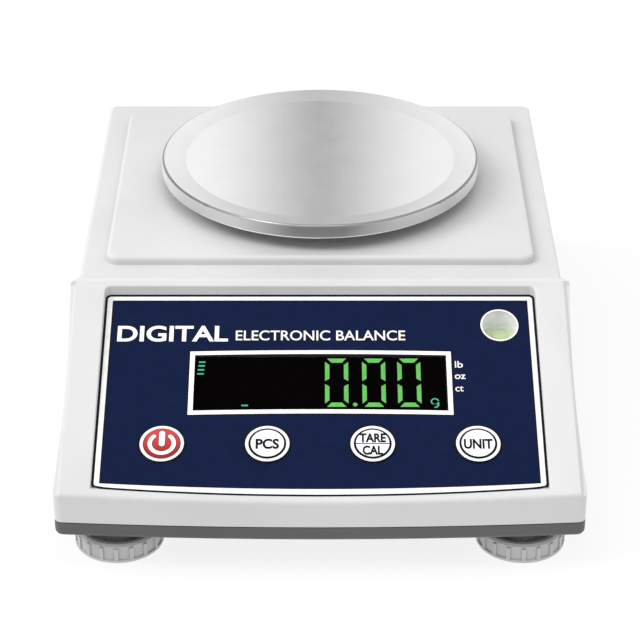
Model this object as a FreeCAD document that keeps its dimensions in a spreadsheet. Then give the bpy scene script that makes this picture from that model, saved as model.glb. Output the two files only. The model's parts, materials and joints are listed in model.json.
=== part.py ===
import FreeCAD, Part
import Sketcher
import math
import os
import re

# Top-loading laboratory balance with four keys, a lit display and screw feet.
# Row frame in millimetres: +Z up, +Y to the rear, the operator stands at -Y.
# The origin is at the centre of the bounding box's bottom face, on the table.

# ---------------------------------------------------------------- driving sizes
SIZES = [
    ("overall_depth", 262.0, "front of the lip to the back wall"),
    ("wing_width", 194.8, "widest part, at the front corners"),
    ("rear_width", 188.6, "housing behind the shoulders"),
    ("cover_top", 69.1, "flat top of the cover above the table"),
    ("plateau_step", 3.5, "raised field under the pan"),
    ("plateau_width", 169.2, "raised field, side to side"),
    ("plateau_front", -21.0, "front edge of the raised field"),
    ("plateau_back", 116.0, "back edge of the raised field"),
    ("plateau_corner", 5.0, "raised field, seen from above"),
    ("plateau_edge", 1.8, "rounding round the raised field"),
    ("shoulder_y", -33.0, "where the wings step out"),
    ("shoulder_step", 2.4, "length of the step"),
    ("ledge_y", -34.3, "crease between the flat top and the slope"),
    ("lip_height", 30.6, "sharp front edge of the slope"),
    ("front_bow", 3.4, "bow of the front edge in plan"),
    ("scoop_depth", 1.7, "hollow along each wing"),
    ("slope_edge", 94.65, "side edge of the slope from the middle"),
    ("side_step", 1.2, "drop beside the slope"),
    ("corner_radius", 3.2, "upright corners at the lip and the back"),
    ("shoulder_radius", 1.4, "upright corners of the shoulders"),
    ("edge_radius", 1.6, "soft edges of the cover"),
    ("tray_radius", 2.2, "lower edge of the tray"),
    ("parting_height", 19.9, "lower edge of the cover"),
    ("parting_gap", 0.35, "shadow gap between the shells"),
    ("base_bottom", 13.5, "underside of the base tray"),
    ("wall", 2.5, "shell thickness"),
    ("inner_width", 183.6, "clear width inside the shells"),
    ("rim_height", 2.8, "locating rim of the tray above the parting"),
    ("panel_tilt", 20.08, "slope of the control panel, degrees"),
    ("panel_y", -124.14, "lower edge of the panel"),
    ("panel_z", 32.5, "lower edge of the panel"),
    ("panel_width", 166.1, "printed overlay"),
    ("panel_length", 92.5, "printed overlay, up the slope"),
    ("panel_bow", 3.6, "bow of the overlay's lower edge"),
    ("panel_thick", 0.8, "printed overlay"),
    ("panel_gap", 0.35, "gap round the overlay"),
    ("panel_corner", 2.0, "upper corners of the overlay"),
    ("recess_border", 0.7, "rounding round the recess"),
    ("shell_depth", 3.3, "overlay face to the underside of the shell"),
    ("window_width", 95.3, "display window in the overlay"),
    ("window_length", 25.9, "display window in the overlay"),
    ("window_low", 35.9, "lower edge of the window up the slope"),
    ("key_radius", 8.55, "key cap"),
    ("key_gap", 0.3, "gap round each key cap"),
    ("key_rise", 0.6, "key cap above the overlay"),
    ("key_place", 19.8, "row of keys up the slope"),
    ("key_inner", 19.45, "inner keys from the middle"),
    ("key_outer", 58.4, "outer keys from the middle"),
    ("vial_x", 69.1, "level vial from the middle"),
    ("vial_y", -51.5, "level vial"),
    ("vial_radius", 7.65, "sight hole of the level"),
    ("vial_top", 55.2, "face of the level's lens"),
    ("lens_bevel", 0.4, "bevel round the level's lens"),
    ("pan_y", 49.5, "centre of the pan"),
    ("pan_radius", 65.9, "weighing pan"),
    ("pan_rim", 84.0, "top of the pan's rim"),
    ("pan_skirt", 5.9, "height of the pan's skirt"),
    ("pan_roll", 1.1, "rounding of the pan's rim"),
    ("pan_hem", 0.4, "rounding of the skirt's lower edge"),
    ("pan_sheet", 0.9, "stainless sheet"),
    ("pan_well", 1.4, "rim to the pan's floor"),
    ("pan_floor_radius", 56.0, "flat floor of the pan"),
    ("cell_length", 130.0, "load cell"),
    ("cell_width", 30.0, "load cell"),
    ("cell_height", 22.0, "load cell"),
    ("cell_bottom", 25.4, "underside of the load cell"),
    ("foot_x", 75.2, "feet from the middle"),
    ("foot_front", -109.5, "front feet"),
    ("foot_back", 109.5, "rear feet"),
    ("foot_radius", 16.6, "knurled wheel of a foot"),
    ("foot_low", 0.5, "underside of the wheel"),
    ("foot_height", 7.4, "height of the wheel"),
    ("foot_rib", 1.5, "rib of a foot's wheel"),
    ("stud_radius", 3.0, "threaded stud of a foot"),
    ("stud_top", 28.5, "upper end of a stud"),
    ("board_thick", 1.6, "circuit boards"),
    ("board_level", 27.0, "underside of the main board"),
    ("chassis_low", 18.9, "underside of the chassis plate"),
    ("chassis_thick", 3.0, "chassis plate"),
    ("dc_x", 60.0, "power inlet from the middle"),
    ("dc_height", 34.1, "power inlet"),
    ("port_x", 37.0, "serial port from the middle"),
    ("port_height", 35.2, "serial port"),
]
ALIASES = {alias for alias, _, _ in SIZES}
LOCAL_ORIGIN = FreeCAD.Vector(0, 0, 0)
X_AXIS = FreeCAD.Vector(1, 0, 0)
Y_AXIS = FreeCAD.Vector(0, 1, 0)
Z_AXIS = FreeCAD.Vector(0, 0, 1)
CONVEX = 1
CONCAVE = -1
FULL_TURN = 360
STEP_LEAN = -45
RIB_COUNT = 18

# Places in plan or on the panel, in millimetres
COVER_BOSSES = [(side * 85.5, y) for side in (-1, 1) for y in (-86, 15, 117)]
CHASSIS_POSTS = [(side * 29, y) for side in (-1, 1) for y in (-20, 119)]
BOARD_POSTS = [(37, 36), (63, 36), (37, 104), (63, 104)]
KEYS = [("power_key", "-key_outer"), ("count_key", "-key_inner"),
        ("tare_key", "key_inner"), ("unit_key", "key_outer")]
KEY_POSTS = ["-(key_inner + key_outer) / 2", "0", "(key_inner + key_outer) / 2"]
DISPLAY_POSTS = [(x, s) for x in (-52.5, 52.5) for s in (36, 62)]
CELL_FIXED_HOLES = (96, 108)
CELL_LIVE_HOLES = (-9, 3)
STOP_PLACES = ((-9, -4), (9, -4))
FLEX_PLACES = (-16, 16)
JACK_PLACES = (-12.5, 12.5)
FOOT_NAMES = ("front_left", "front_right", "rear_left", "rear_right")

doc = FreeCAD.newDocument("balance")
sheet = doc.addObject("Spreadsheet::Sheet", "sizes")
sub_parts = []


def fill_sheet():
    """Write each driving size with its note and alias."""
    for row, (alias, value, note) in enumerate(SIZES, start=1):
        sheet.set("A%d" % row, note)
        sheet.set("B%d" % row, str(value))
        sheet.setAlias("B%d" % row, alias)
    doc.recompute()


# ---------------------------------------------------------------- helpers
def linked(text):
    """Point every alias in an expression at the sheet."""
    return re.sub("[a-z_]+", lambda word: sheet_name(word.group()), str(text))


def sheet_name(word):
    return "sizes." + word if word in ALIASES else word


def value_of(text):
    """Number that an expression gives with the sheet's sizes."""
    return float(sheet.evalExpression(linked(text)))


def keep(label, obj):
    """Count an object as a sub-part under its file name."""
    obj.Label = label
    sub_parts.append(obj)
    return obj


def new_body(label):
    return keep(label, doc.addObject("PartDesign::Body", label))


def new_sketch(body, name, plane="XY_Plane", height="0", tilt=None, forward="0"):
    """Sketch on one of the body's own planes, raised and tilted by expressions."""
    sketch = body.newObject("Sketcher::SketchObject", name)
    planes = {feature.Role: feature for feature in body.Origin.OriginFeatures}
    sketch.AttachmentSupport = (planes[plane], [""])
    sketch.MapMode = "FlatFace"
    if tilt:
        start = FreeCAD.Rotation(X_AXIS, value_of(tilt))
        sketch.AttachmentOffset = FreeCAD.Placement(LOCAL_ORIGIN, start)
        sketch.setExpression(".AttachmentOffset.Rotation.Angle", linked(tilt))
    sketch.setExpression(".AttachmentOffset.Base.y", linked(forward))
    sketch.setExpression(".AttachmentOffset.Base.z", linked(height))
    return sketch


def panel_sketch(body, name, depth="0"):
    """Sketch parallel to the control panel, so far below its face."""
    forward = "panel_y + (%s) * %s" % (depth, SINE)
    height = "panel_z - (%s) * %s" % (depth, COSINE)
    return new_sketch(body, name, "XY_Plane", height, "panel_tilt", forward)


def pin_point(sketch, geometry, point, x, y):
    """Hold one point of a sketch at expressions of the sheet."""
    for kind, text in (("DistanceX", x), ("DistanceY", y)):
        constraint = Sketcher.Constraint(kind, -1, 1, geometry, point, value_of(text))
        index = sketch.addConstraint(constraint)
        sketch.setExpression("Constraints[%d]" % index, linked(text))


def bind_radius(sketch, geometry, radius):
    constraint = Sketcher.Constraint("Radius", geometry, value_of(radius))
    index = sketch.addConstraint(constraint)
    sketch.setExpression("Constraints[%d]" % index, linked(radius))


def arc_between(start, end, radius, side):
    """Short arc; CONVEX arcs turn left from start to end, CONCAVE ones right."""
    chord = end - start
    middle = (start + end) * 0.5
    leftward = FreeCAD.Vector(-chord.y, chord.x, 0).normalize()
    reach = math.sqrt(max(radius ** 2 - (chord.Length / 2) ** 2, 0))
    centre = middle + leftward * reach * side
    angles = [math.atan2(p.y - centre.y, p.x - centre.x) for p in (start, end)]
    circle = Part.Circle(centre, Z_AXIS, radius)
    if side == CONVEX:
        return Part.ArcOfCircle(circle, angles[0], angles[1])
    return Part.ArcOfCircle(circle, angles[1], angles[0])


def draw_outline(sketch, corners):
    """Closed chain of lines and arcs, anticlockwise.

    A corner is (x, y) where a line leaves it, or (x, y, radius, side) for an arc.
    """
    points = [FreeCAD.Vector(value_of(c[0]), value_of(c[1]), 0) for c in corners]
    count = len(corners)
    ends = []
    for index, corner in enumerate(corners):
        start = points[index]
        end = points[(index + 1) % count]
        curved = len(corner) > 2
        side = corner[3] if curved else CONVEX
        if curved:
            shape = arc_between(start, end, value_of(corner[2]), side)
        else:
            shape = Part.LineSegment(start, end)
        geometry = sketch.addGeometry(shape, False)
        ends.append((geometry, 1, 2) if side == CONVEX else (geometry, 2, 1))
    for index, corner in enumerate(corners):
        geometry, first, last = ends[index]
        following, begin, _ = ends[(index + 1) % count]
        sketch.addConstraint(
            Sketcher.Constraint("Coincident", geometry, last, following, begin))
        pin_point(sketch, geometry, first, corner[0], corner[1])
        if len(corner) > 2:
            bind_radius(sketch, geometry, corner[2])


def draw_rectangle(sketch, left, right, low, high):
    draw_outline(sketch, [(left, low), (right, low), (right, high), (left, high)])


def draw_circle(sketch, x, y, radius):
    centre = FreeCAD.Vector(value_of(x), value_of(y), 0)
    circle = Part.Circle(centre, Z_AXIS, value_of(radius))
    geometry = sketch.addGeometry(circle, False)
    pin_point(sketch, geometry, 3, x, y)
    bind_radius(sketch, geometry, radius)


def volume_of(body):
    return 0.0 if body.Shape.isNull() else body.Shape.Volume


def extrude(body, sketch, length, kind, both_ways=False, reverse=False, taper=0):
    """Pad or pocket a sketch, and insist that the solid really changed."""
    before = volume_of(body)
    feature = body.newObject("PartDesign::" + kind, sketch.Name + "_" + kind.lower())
    feature.Profile = sketch
    feature.SideType = "Symmetric" if both_ways else "One side"
    feature.Reversed = reverse
    feature.TaperAngle = taper
    feature.setExpression("Length", linked(length))
    doc.recompute()
    change = volume_of(body) - before
    wrong = change <= 0 if kind == "Pad" else change >= 0
    if wrong:
        raise ValueError("%s changed nothing" % feature.Name)
    return feature


def pad(body, sketch, length, **options):
    return extrude(body, sketch, length, "Pad", **options)


def pocket(body, sketch, length, **options):
    return extrude(body, sketch, length, "Pocket", **options)


def revolve(body, sketch):
    """Turn a profile a full circle about the sketch's upright axis."""
    feature = body.newObject("PartDesign::Revolution", sketch.Name + "_turned")
    feature.Profile = sketch
    feature.ReferenceAxis = (sketch, ["V_Axis"])
    feature.Angle = FULL_TURN
    doc.recompute()


def dress(body, kind, size_property, size, chosen):
    """Fillet or chamfer the edges of the tip that the test picks."""
    tip = body.Tip
    names = ["Edge%d" % (index + 1)
             for index, edge in enumerate(tip.Shape.Edges) if chosen(edge)]
    if not names:
        raise ValueError("no edge picked on %s" % body.Label)
    feature = body.newObject("PartDesign::" + kind, body.Name + "_" + kind.lower())
    feature.Base = (tip, names)
    feature.setExpression(size_property, linked(size))
    doc.recompute()
    if feature.Shape.isNull() or not feature.Shape.isValid():
        raise ValueError("%s failed on %s" % (kind, body.Label))
    return feature


def round_edges(body, radius, chosen):
    return dress(body, "Fillet", "Radius", radius, chosen)


def upright(edge):
    box = edge.BoundBox
    return box.XLength < 0.01 and box.YLength < 0.01 and box.ZLength > 0.5


def level_at(height, reach=0.05):
    """Test for an edge that lies flat at a height."""
    return lambda edge: (abs(edge.BoundBox.ZMin - height) < reach
                         and abs(edge.BoundBox.ZMax - height) < reach)


def set_base(obj, x, y, z):
    for axis, text in zip("xyz", (x, y, z)):
        obj.setExpression(".Placement.Base." + axis, linked(text))


def box(name, x, y, z, length, width, height):
    """Part box from its lowest corner."""
    solid = doc.addObject("Part::Box", name)
    solid.setExpression("Length", linked(length))
    solid.setExpression("Width", linked(width))
    solid.setExpression("Height", linked(height))
    set_base(solid, x, y, z)
    return solid


def cylinder(name, x, y, z, radius, height, axis=Z_AXIS):
    """Part cylinder from the centre of its starting face."""
    solid = doc.addObject("Part::Cylinder", name)
    solid.setExpression("Radius", linked(radius))
    solid.setExpression("Height", linked(height))
    solid.Placement.Rotation = FreeCAD.Rotation(Z_AXIS, axis)
    set_base(solid, x, y, z)
    return solid


def fuse(name, *solids):
    joined = doc.addObject("Part::MultiFuse", name)
    joined.Shapes = list(solids)
    joined.Refine = True
    return joined


def cut(name, base, *tools):
    tool = tools[0] if len(tools) == 1 else fuse(name + "_tools", *tools)
    result = doc.addObject("Part::Cut", name)
    result.Base = base
    result.Tool = tool
    return result


def group(label, solids):
    """Identical pieces that share one node."""
    compound = doc.addObject("Part::Compound", label)
    compound.Links = list(solids)
    return keep(label, compound)


def panel_place(x=0.0, s=0.0, n=0.0):
    """Placement of a piece drawn flat on the control panel."""
    turn = FreeCAD.Rotation(X_AXIS, value_of("panel_tilt"))
    corner = FreeCAD.Vector(0, value_of("panel_y"), value_of("panel_z"))
    panel = FreeCAD.Placement(corner, turn)
    return panel.multiply(FreeCAD.Placement(FreeCAD.Vector(x, s, n), FreeCAD.Rotation()))


def screw(name, x, y, z, shank, length, head, head_height, up=True):
    """Cylinder-head screw; z is the seat of the head, up is where its point goes."""
    way = 1 if up else -1
    low = z if up else z - length
    body = cylinder(name + "_shank", x, y, low, shank, length)
    head_low = z - head_height if way > 0 else z
    cap = cylinder(name + "_head", x, y, head_low, head, head_height)
    drive = cylinder(name + "_drive", x, y, head_low if up else z + head_height / 2,
                     head * 0.5, head_height / 2)
    return cut(name, fuse(name + "_blank", body, cap), drive)


# ---------------------------------------------------------------- housing shells
FRONT = "front_bow - overall_depth / 2"
BACK = "overall_depth / 2"
BOW_RADIUS = "wing_width ^ 2 / (8 * front_bow) + front_bow / 2"
SCOOP_RADIUS = ("(shoulder_y + overall_depth / 2 - front_bow) ^ 2 / (8 * scoop_depth)"
                " + scoop_depth / 2")
SLOPE_RUN = "(overall_depth / 2 + ledge_y)"
SLOPE_FALL = "(cover_top - lip_height)"
TANGENT = "tan(panel_tilt * 1 deg)"
SINE = "sin(panel_tilt * 1 deg)"
COSINE = "cos(panel_tilt * 1 deg)"


def plan_outline():
    """Outline that the cover and the tray share, seen from above."""
    wing = "wing_width / 2"
    rear = "rear_width / 2"
    step = "shoulder_y + shoulder_step"
    return [
        (wing, FRONT, SCOOP_RADIUS, CONCAVE),
        (wing, "shoulder_y"),
        (rear, step),
        (rear, BACK),
        ("-" + rear, BACK),
        ("-" + rear, step),
        ("-" + wing, "shoulder_y", SCOOP_RADIUS, CONCAVE),
        ("-" + wing, FRONT, BOW_RADIUS, CONVEX),
    ]


def round_plan_corners(body):
    """Vertical corners: front lip, shoulders and back."""
    def near(edge, x, y):
        box = edge.BoundBox
        return upright(edge) and abs(abs(box.Center.x) - x) < 1 and abs(box.Center.y - y) < 1
    wing = value_of("wing_width / 2")
    rear = value_of("rear_width / 2")
    round_edges(body, "corner_radius", lambda edge: near(edge, wing, value_of(FRONT))
                or near(edge, rear, value_of(BACK)))
    round_edges(body, "shoulder_radius",
                lambda edge: near(edge, wing, value_of("shoulder_y")))


def make_top_cover():
    """White shell: flat top with a raised field, sloped front with a recess."""
    body = new_body("top_cover")
    outline = new_sketch(body, "cover_outline", height="parting_height")
    draw_outline(outline, plan_outline())
    pad(body, outline, "cover_top - parting_height")
    round_plan_corners(body)
    cut_slope(body)
    round_top_edges(body)
    step_sides(body)
    add_plateau(body)
    hollow_cover(body)
    cut_recess(body)
    round_recess(body)
    open_panel(body)
    open_stem_hole(body)
    open_back(body)
    add_cover_bosses(body)
    return body


def cut_slope(body):
    """Front slope from the ledge down to the lip."""
    beyond = "(lip_height - 10 * %s / %s)" % (SLOPE_FALL, SLOPE_RUN)
    profile = new_sketch(body, "slope_profile", plane="YZ_Plane")
    draw_outline(profile, [
        ("-overall_depth / 2 - 10", beyond),
        ("ledge_y", "cover_top"),
        ("ledge_y", "cover_top + 5"),
        ("-overall_depth / 2 - 10", "cover_top + 5"),
    ])
    pocket(body, profile, "wing_width + 20", both_ways=True)


def round_top_edges(body):
    """Soft moulded edges all round the top, the slope and the lip."""
    low = value_of("parting_height") + 0.5

    def upper(edge):
        box = edge.BoundBox
        return box.ZMin > low + 5 and not upright(edge)
    round_edges(body, "edge_radius", upper)


def step_sides(body):
    """Narrow step along each side of the slope, its wall leaning outwards."""
    tilt = "atan(%s / %s)" % (SLOPE_FALL, SLOPE_RUN)
    steps = new_sketch(body, "side_steps", height="cover_top", tilt=tilt, forward="ledge_y")
    beyond = "wing_width / 2 + 10"
    draw_rectangle(steps, "slope_edge", beyond, "-overall_depth / 2", "0")
    draw_rectangle(steps, "-(%s)" % beyond, "-slope_edge", "-overall_depth / 2", "0")
    pocket(body, steps, "side_step", taper=STEP_LEAN)


def add_plateau(body):
    field = new_sketch(body, "plateau_outline", height="cover_top")
    draw_rectangle(field, "-plateau_width / 2", "plateau_width / 2",
                   "plateau_front", "plateau_back")
    pad(body, field, "plateau_step")
    top = value_of("cover_top + plateau_step")
    round_edges(body, "plateau_corner", lambda edge: upright(edge)
                and abs(edge.BoundBox.ZMax - top) < 0.05)
    round_edges(body, "plateau_edge", level_at(top))


def hollow_cover(body):
    """Inside of the shell: straight back, flat ceiling, sloped front ceiling."""
    profile = new_sketch(body, "cavity_profile", plane="YZ_Plane")
    ceiling = "(panel_z - shell_depth / %s + ((%s) - panel_y) * %s)"
    front = "6 - overall_depth / 2"
    behind_recess = "ledge_y - 0.2"
    draw_outline(profile, [
        (front, "parting_height - 1"),
        ("overall_depth / 2 - wall", "parting_height - 1"),
        ("overall_depth / 2 - wall", "cover_top - wall"),
        (behind_recess, "cover_top - wall"),
        (behind_recess, ceiling % (COSINE, behind_recess, TANGENT)),
        (front, ceiling % (COSINE, front, TANGENT)),
    ])
    pocket(body, profile, "inner_width", both_ways=True)
    field = new_sketch(body, "plateau_hollow", height="cover_top - wall - 0.5")
    draw_rectangle(field, "3 - plateau_width / 2", "plateau_width / 2 - 3",
                   "plateau_front + 3", "plateau_back - 3")
    pocket(body, field, "plateau_step + 0.5", reverse=True)


def overlay_outline(extra):
    """Outline of the printed overlay, grown by a clearance."""
    half = "panel_width / 2 + %s" % extra
    width = "(panel_width + 2 * %s)" % extra
    radius = "%s ^ 2 / (8 * panel_bow) + panel_bow / 2" % width
    return [
        (half, "-%s" % extra),
        (half, "panel_length + %s" % extra),
        ("-(%s)" % half, "panel_length + %s" % extra),
        ("-(%s)" % half, "-%s" % extra, radius, CONVEX),
    ]


def cut_recess(body):
    """Recess for the overlay, with an upright wall at its upper end."""
    outline = panel_sketch(body, "recess_outline", "panel_thick")
    corners = overlay_outline("panel_gap")
    lower_part = [corners[0], (corners[1][0], "panel_length - 4"),
                  (corners[2][0], "panel_length - 4"), corners[3]]
    draw_outline(outline, lower_part)
    pocket(body, outline, "25", reverse=True)
    floor = "(panel_z - panel_thick / %s + ((%s) - panel_y) * %s)"
    low = "panel_y + 30"
    high = "panel_y + (panel_length + panel_gap) * %s" % COSINE
    profile = new_sketch(body, "recess_profile", plane="YZ_Plane")
    draw_outline(profile, [
        (low, floor % (COSINE, low, TANGENT)),
        (high, floor % (COSINE, high, TANGENT)),
        (high + " + 0.6", "cover_top + 3"),
        (low, "cover_top + 3"),
    ])
    pocket(body, profile, "panel_width + 2 * panel_gap", both_ways=True)


def round_recess(body):
    """Rounded upper corners of the recess and a soft border all round it."""
    side = value_of("panel_width / 2 + panel_gap")
    top = value_of("panel_y + (panel_length + panel_gap) * %s" % COSINE)

    def corner(edge):
        box = edge.BoundBox
        return (abs(abs(box.Center.x) - side) < 0.1 and box.XLength < 0.1
                and abs(box.Center.y - top) < 1 and box.YLength < 1 and box.ZLength > 2)

    def border(edge):
        box = edge.BoundBox
        inside = max(abs(box.XMin), abs(box.XMax)) < side + 0.1 and box.YMax < top + 1
        on_skin = all(abs(skin_height(vertex.Y) - vertex.Z) < 0.4 for vertex in edge.Vertexes)
        return inside and on_skin and box.ZMin > value_of("lip_height")
    round_edges(body, "panel_corner", corner)
    round_edges(body, "recess_border", border)


def skin_height(y):
    """Height of the cover's sloped or flat top at a depth."""
    ledge = value_of("ledge_y")
    fall = value_of("%s / %s" % (SLOPE_FALL, SLOPE_RUN))
    return value_of("cover_top") - max(0, ledge - y) * fall


def open_panel(body):
    """Openings behind the overlay for the window, the keys and the level."""
    openings = panel_sketch(body, "panel_openings", "shell_depth + 3")
    draw_rectangle(openings, "-window_width / 2 - 1.5", "window_width / 2 + 1.5",
                   "window_low - 1.5", "window_low + window_length + 1.5")
    for _, x in KEYS:
        draw_circle(openings, x, "key_place", "key_radius + key_gap")
    pocket(body, openings, "6", reverse=True)
    well = new_sketch(body, "level_well", height="vial_top - 12")
    draw_circle(well, "vial_x", "vial_y", "vial_radius + 2.1")
    pocket(body, well, "30", reverse=True)
    posts = panel_sketch(body, "key_board_posts", "shell_depth + 7.8")
    for x in KEY_POSTS:
        draw_circle(posts, x, "key_place", "2.6")
        draw_circle(posts, x, "key_place", "1.2")
    pad(body, posts, "7.9")


def open_stem_hole(body):
    """Hole for the pan stem with a collar that keeps spills out."""
    collar = new_sketch(body, "collar", height="cover_top + plateau_step - 0.2")
    draw_circle(collar, "0", "pan_y", "14")
    pad(body, collar, "2.6")
    hole = new_sketch(body, "stem_hole", height="cover_top - wall - 1")
    draw_circle(hole, "0", "pan_y", "12")
    pocket(body, hole, "20", reverse=True)


def open_back(body):
    """Openings in the back wall for the two connectors and their screws."""
    ports = new_sketch(body, "back_openings", plane="XZ_Plane",
                       height="-overall_depth / 2 - 1")
    draw_circle(ports, "dc_x", "dc_height", "4.3")
    draw_rectangle(ports, "port_x - 8.9", "port_x + 8.9",
                   "port_height - 4.6", "port_height + 4.6")
    for side in JACK_PLACES:
        draw_circle(ports, "port_x + (%s)" % side, "port_height", "3.1")
    pocket(body, ports, "wall + 3", reverse=True)


def add_cover_bosses(body):
    """Hollow posts that take the screws from below."""
    for name, rows, top in (("front_bosses", (-86,), 44), ("rear_bosses", (15, 117), 67)):
        bosses = new_sketch(body, name, height="parting_height - 0.7")
        for x, y in COVER_BOSSES:
            if y in rows:
                draw_circle(bosses, x, y, "4")
                draw_circle(bosses, x, y, "1.4")
        pad(body, bosses, "%s - parting_height + 0.7" % top)
    posts = panel_sketch(body, "display_posts", "shell_depth + 7.2")
    for x, s in DISPLAY_POSTS:
        draw_circle(posts, x, s, "2.4")
        draw_circle(posts, x, s, "1.2")
    pad(body, posts, "7.3")


def make_base_tray():
    """Grey lower tray with a rounded underside and the bosses that carry the rest."""
    body = new_body("base_tray")
    outline = new_sketch(body, "tray_outline", height="base_bottom")
    draw_outline(outline, plan_outline())
    pad(body, outline, "parting_height - parting_gap - base_bottom")
    round_plan_corners(body)
    bottom = value_of("base_bottom")
    round_edges(body, "tray_radius", level_at(bottom))
    inside = new_sketch(body, "tray_inside", height="parting_height")
    draw_rectangle(inside, "-inner_width / 2", "inner_width / 2",
                   "6 - overall_depth / 2", "overall_depth / 2 - wall")
    pocket(body, inside, "parting_height - base_bottom - 2.4")
    add_tray_rim(body)
    add_tray_posts(body)
    return body


def add_tray_rim(body):
    """Upright rim that locates inside the cover."""
    rim = new_sketch(body, "tray_rim", height="base_bottom + 1.5")
    for inset in ("0.25", "1.85"):
        draw_rectangle(rim, "%s - inner_width / 2" % inset, "inner_width / 2 - %s" % inset,
                       "6 + %s - overall_depth / 2" % inset,
                       "overall_depth / 2 - wall - %s" % inset)
    pad(body, rim, "parting_height + rim_height - base_bottom - 1.5")


def add_tray_posts(body):
    """Screw pillars, foot bosses and the standoffs for the chassis and the board."""
    rows = [
        ("screw_pillars", COVER_BOSSES, "5", "parting_height - 0.9", "1.7"),
        ("chassis_posts", CHASSIS_POSTS, "4.5", "chassis_low", "1.4"),
        ("board_posts", BOARD_POSTS, "3.4", "board_level", "1.2"),
        ("foot_bosses", foot_places(), "7", "24.5", "4"),
    ]
    for name, places, radius, top, hole in rows:
        posts = new_sketch(body, name, height="base_bottom + 1")
        through = name in ("screw_pillars", "foot_bosses")
        start = "base_bottom - 1" if through else top
        holes = new_sketch(body, name + "_holes", height=start)
        for x, y in places:
            draw_circle(posts, x, y, radius)
            draw_circle(holes, x, y, hole)
        pad(body, posts, "%s - base_bottom - 1" % top)
        depth = "20" if through else "%s - base_bottom - 1.5" % top
        pocket(body, holes, depth, reverse=through)
    seats = new_sketch(body, "screw_seats", height="base_bottom - 1")
    for x, y in COVER_BOSSES:
        draw_circle(seats, x, y, "3.5")
    pocket(body, seats, "4.2", reverse=True)


def foot_places():
    """Front left, front right, rear left and rear right foot."""
    return [(side + "foot_x", row) for row in ("foot_front", "foot_back") for side in ("-", "")]


def make_cover_screws():
    seat = value_of("base_bottom") + 3.2
    screws = [screw("cover_screw_%d" % index, x, y, seat, 1.4, 12, 3.2, 2.4)
              for index, (x, y) in enumerate(COVER_BOSSES)]
    group("cover_screws", screws)


# ---------------------------------------------------------------- control panel
def make_overlay():
    """Printed front sheet, bowed along its lower edge."""
    body = new_body("control_overlay")
    outline = new_sketch(body, "overlay_outline", height="-panel_thick")
    draw_outline(outline, overlay_outline("0"))
    pad(body, outline, "panel_thick")
    round_edges(body, "panel_corner", upright)
    openings = new_sketch(body, "overlay_openings", height="1")
    draw_rectangle(openings, "-window_width / 2", "window_width / 2",
                   "window_low", "window_low + window_length")
    for _, x in KEYS:
        draw_circle(openings, x, "key_place", "key_radius + key_gap")
    pocket(body, openings, "4")
    rise = "(vial_y - panel_y) / cos(panel_tilt * 1 deg)"
    sight = new_sketch(body, "sight_hole", tilt="-panel_tilt", forward=rise)
    draw_circle(sight, "vial_x", "0", "vial_radius")
    pocket(body, sight, "30", both_ways=True)
    body.Placement = panel_place()


def panel_box(name, x, s, n, length, width, height):
    """Box flat on the panel, from its lowest corner; n is 0 at the overlay's face."""
    solid = doc.addObject("Part::Box", name)
    solid.setExpression("Length", linked(length))
    solid.setExpression("Width", linked(width))
    solid.setExpression("Height", linked(height))
    solid.Placement = panel_place(value_of(x), value_of(s), value_of(n))
    return solid


def panel_cylinder(name, x, s, n, radius, height):
    solid = doc.addObject("Part::Cylinder", name)
    solid.setExpression("Radius", linked(radius))
    solid.setExpression("Height", linked(height))
    solid.Placement = panel_place(value_of(x), value_of(s), value_of(n))
    return solid


def make_display():
    """Smoked window, segment module and its board."""
    sill = panel_box("window_sill", "-window_width / 2 - 1.2", "window_low - 1.2",
                     "-panel_thick - 2", "window_width + 2.4", "window_length + 2.4", "2")
    face = panel_box("window_face", "0.2 - window_width / 2", "window_low + 0.2",
                     "-panel_thick", "window_width - 0.4", "window_length - 0.4", "0.6")
    keep("display_window", fuse("display_window", sill, face))
    module = panel_box("display_module", "-48", "34.8", "-10.5", "96", "27.8", "7")
    keep("display_module", module)
    board = panel_box("display_blank", "-57", "32.4", "-12.1", "114", "33.2", "board_thick")
    holes = [panel_cylinder("display_hole_%d" % index, x, s, "-13", "1.4", "4")
             for index, (x, s) in enumerate(DISPLAY_POSTS)]
    keep("display_board", cut("display_board", board, *holes))


def make_key_board():
    """Board under the keys with a push switch under each one."""
    blank = panel_box("key_blank", "-66", "8.5", "-12.7", "132", "22", "board_thick")
    holes = [panel_cylinder("key_board_hole_%d" % index, x, "key_place", "-13.5", "1.4", "4")
             for index, x in enumerate(KEY_POSTS)]
    keep("key_board", cut("key_board", blank, *holes))
    switches = []
    for name, x in KEYS:
        case = panel_box(name + "_switch_case", x + " - 3", "key_place - 3", "-11.1",
                         "6", "6", "4.3")
        well = panel_cylinder(name + "_switch_well", x, "key_place", "-9.4", "2", "4")
        switches.append(cut(name + "_switch", case, well))
    group("key_switches", switches)


def make_panel_screws():
    """Screws that hold the key board and the display board to the cover's posts."""
    screws = []
    places = [(x, "key_place", -12.7) for x in KEY_POSTS]
    places += [(x, s, -12.1) for x, s in DISPLAY_POSTS]
    for index, (x, s, n) in enumerate(places):
        shank = panel_cylinder("panel_screw_shank_%d" % index, x, s, str(n), "1.15", "7")
        head = panel_cylinder("panel_screw_head_%d" % index, x, s, str(n - 1.8), "2.4", "1.8")
        screws.append(fuse("panel_screw_%d" % index, shank, head))
    group("panel_screws", screws)


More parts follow.
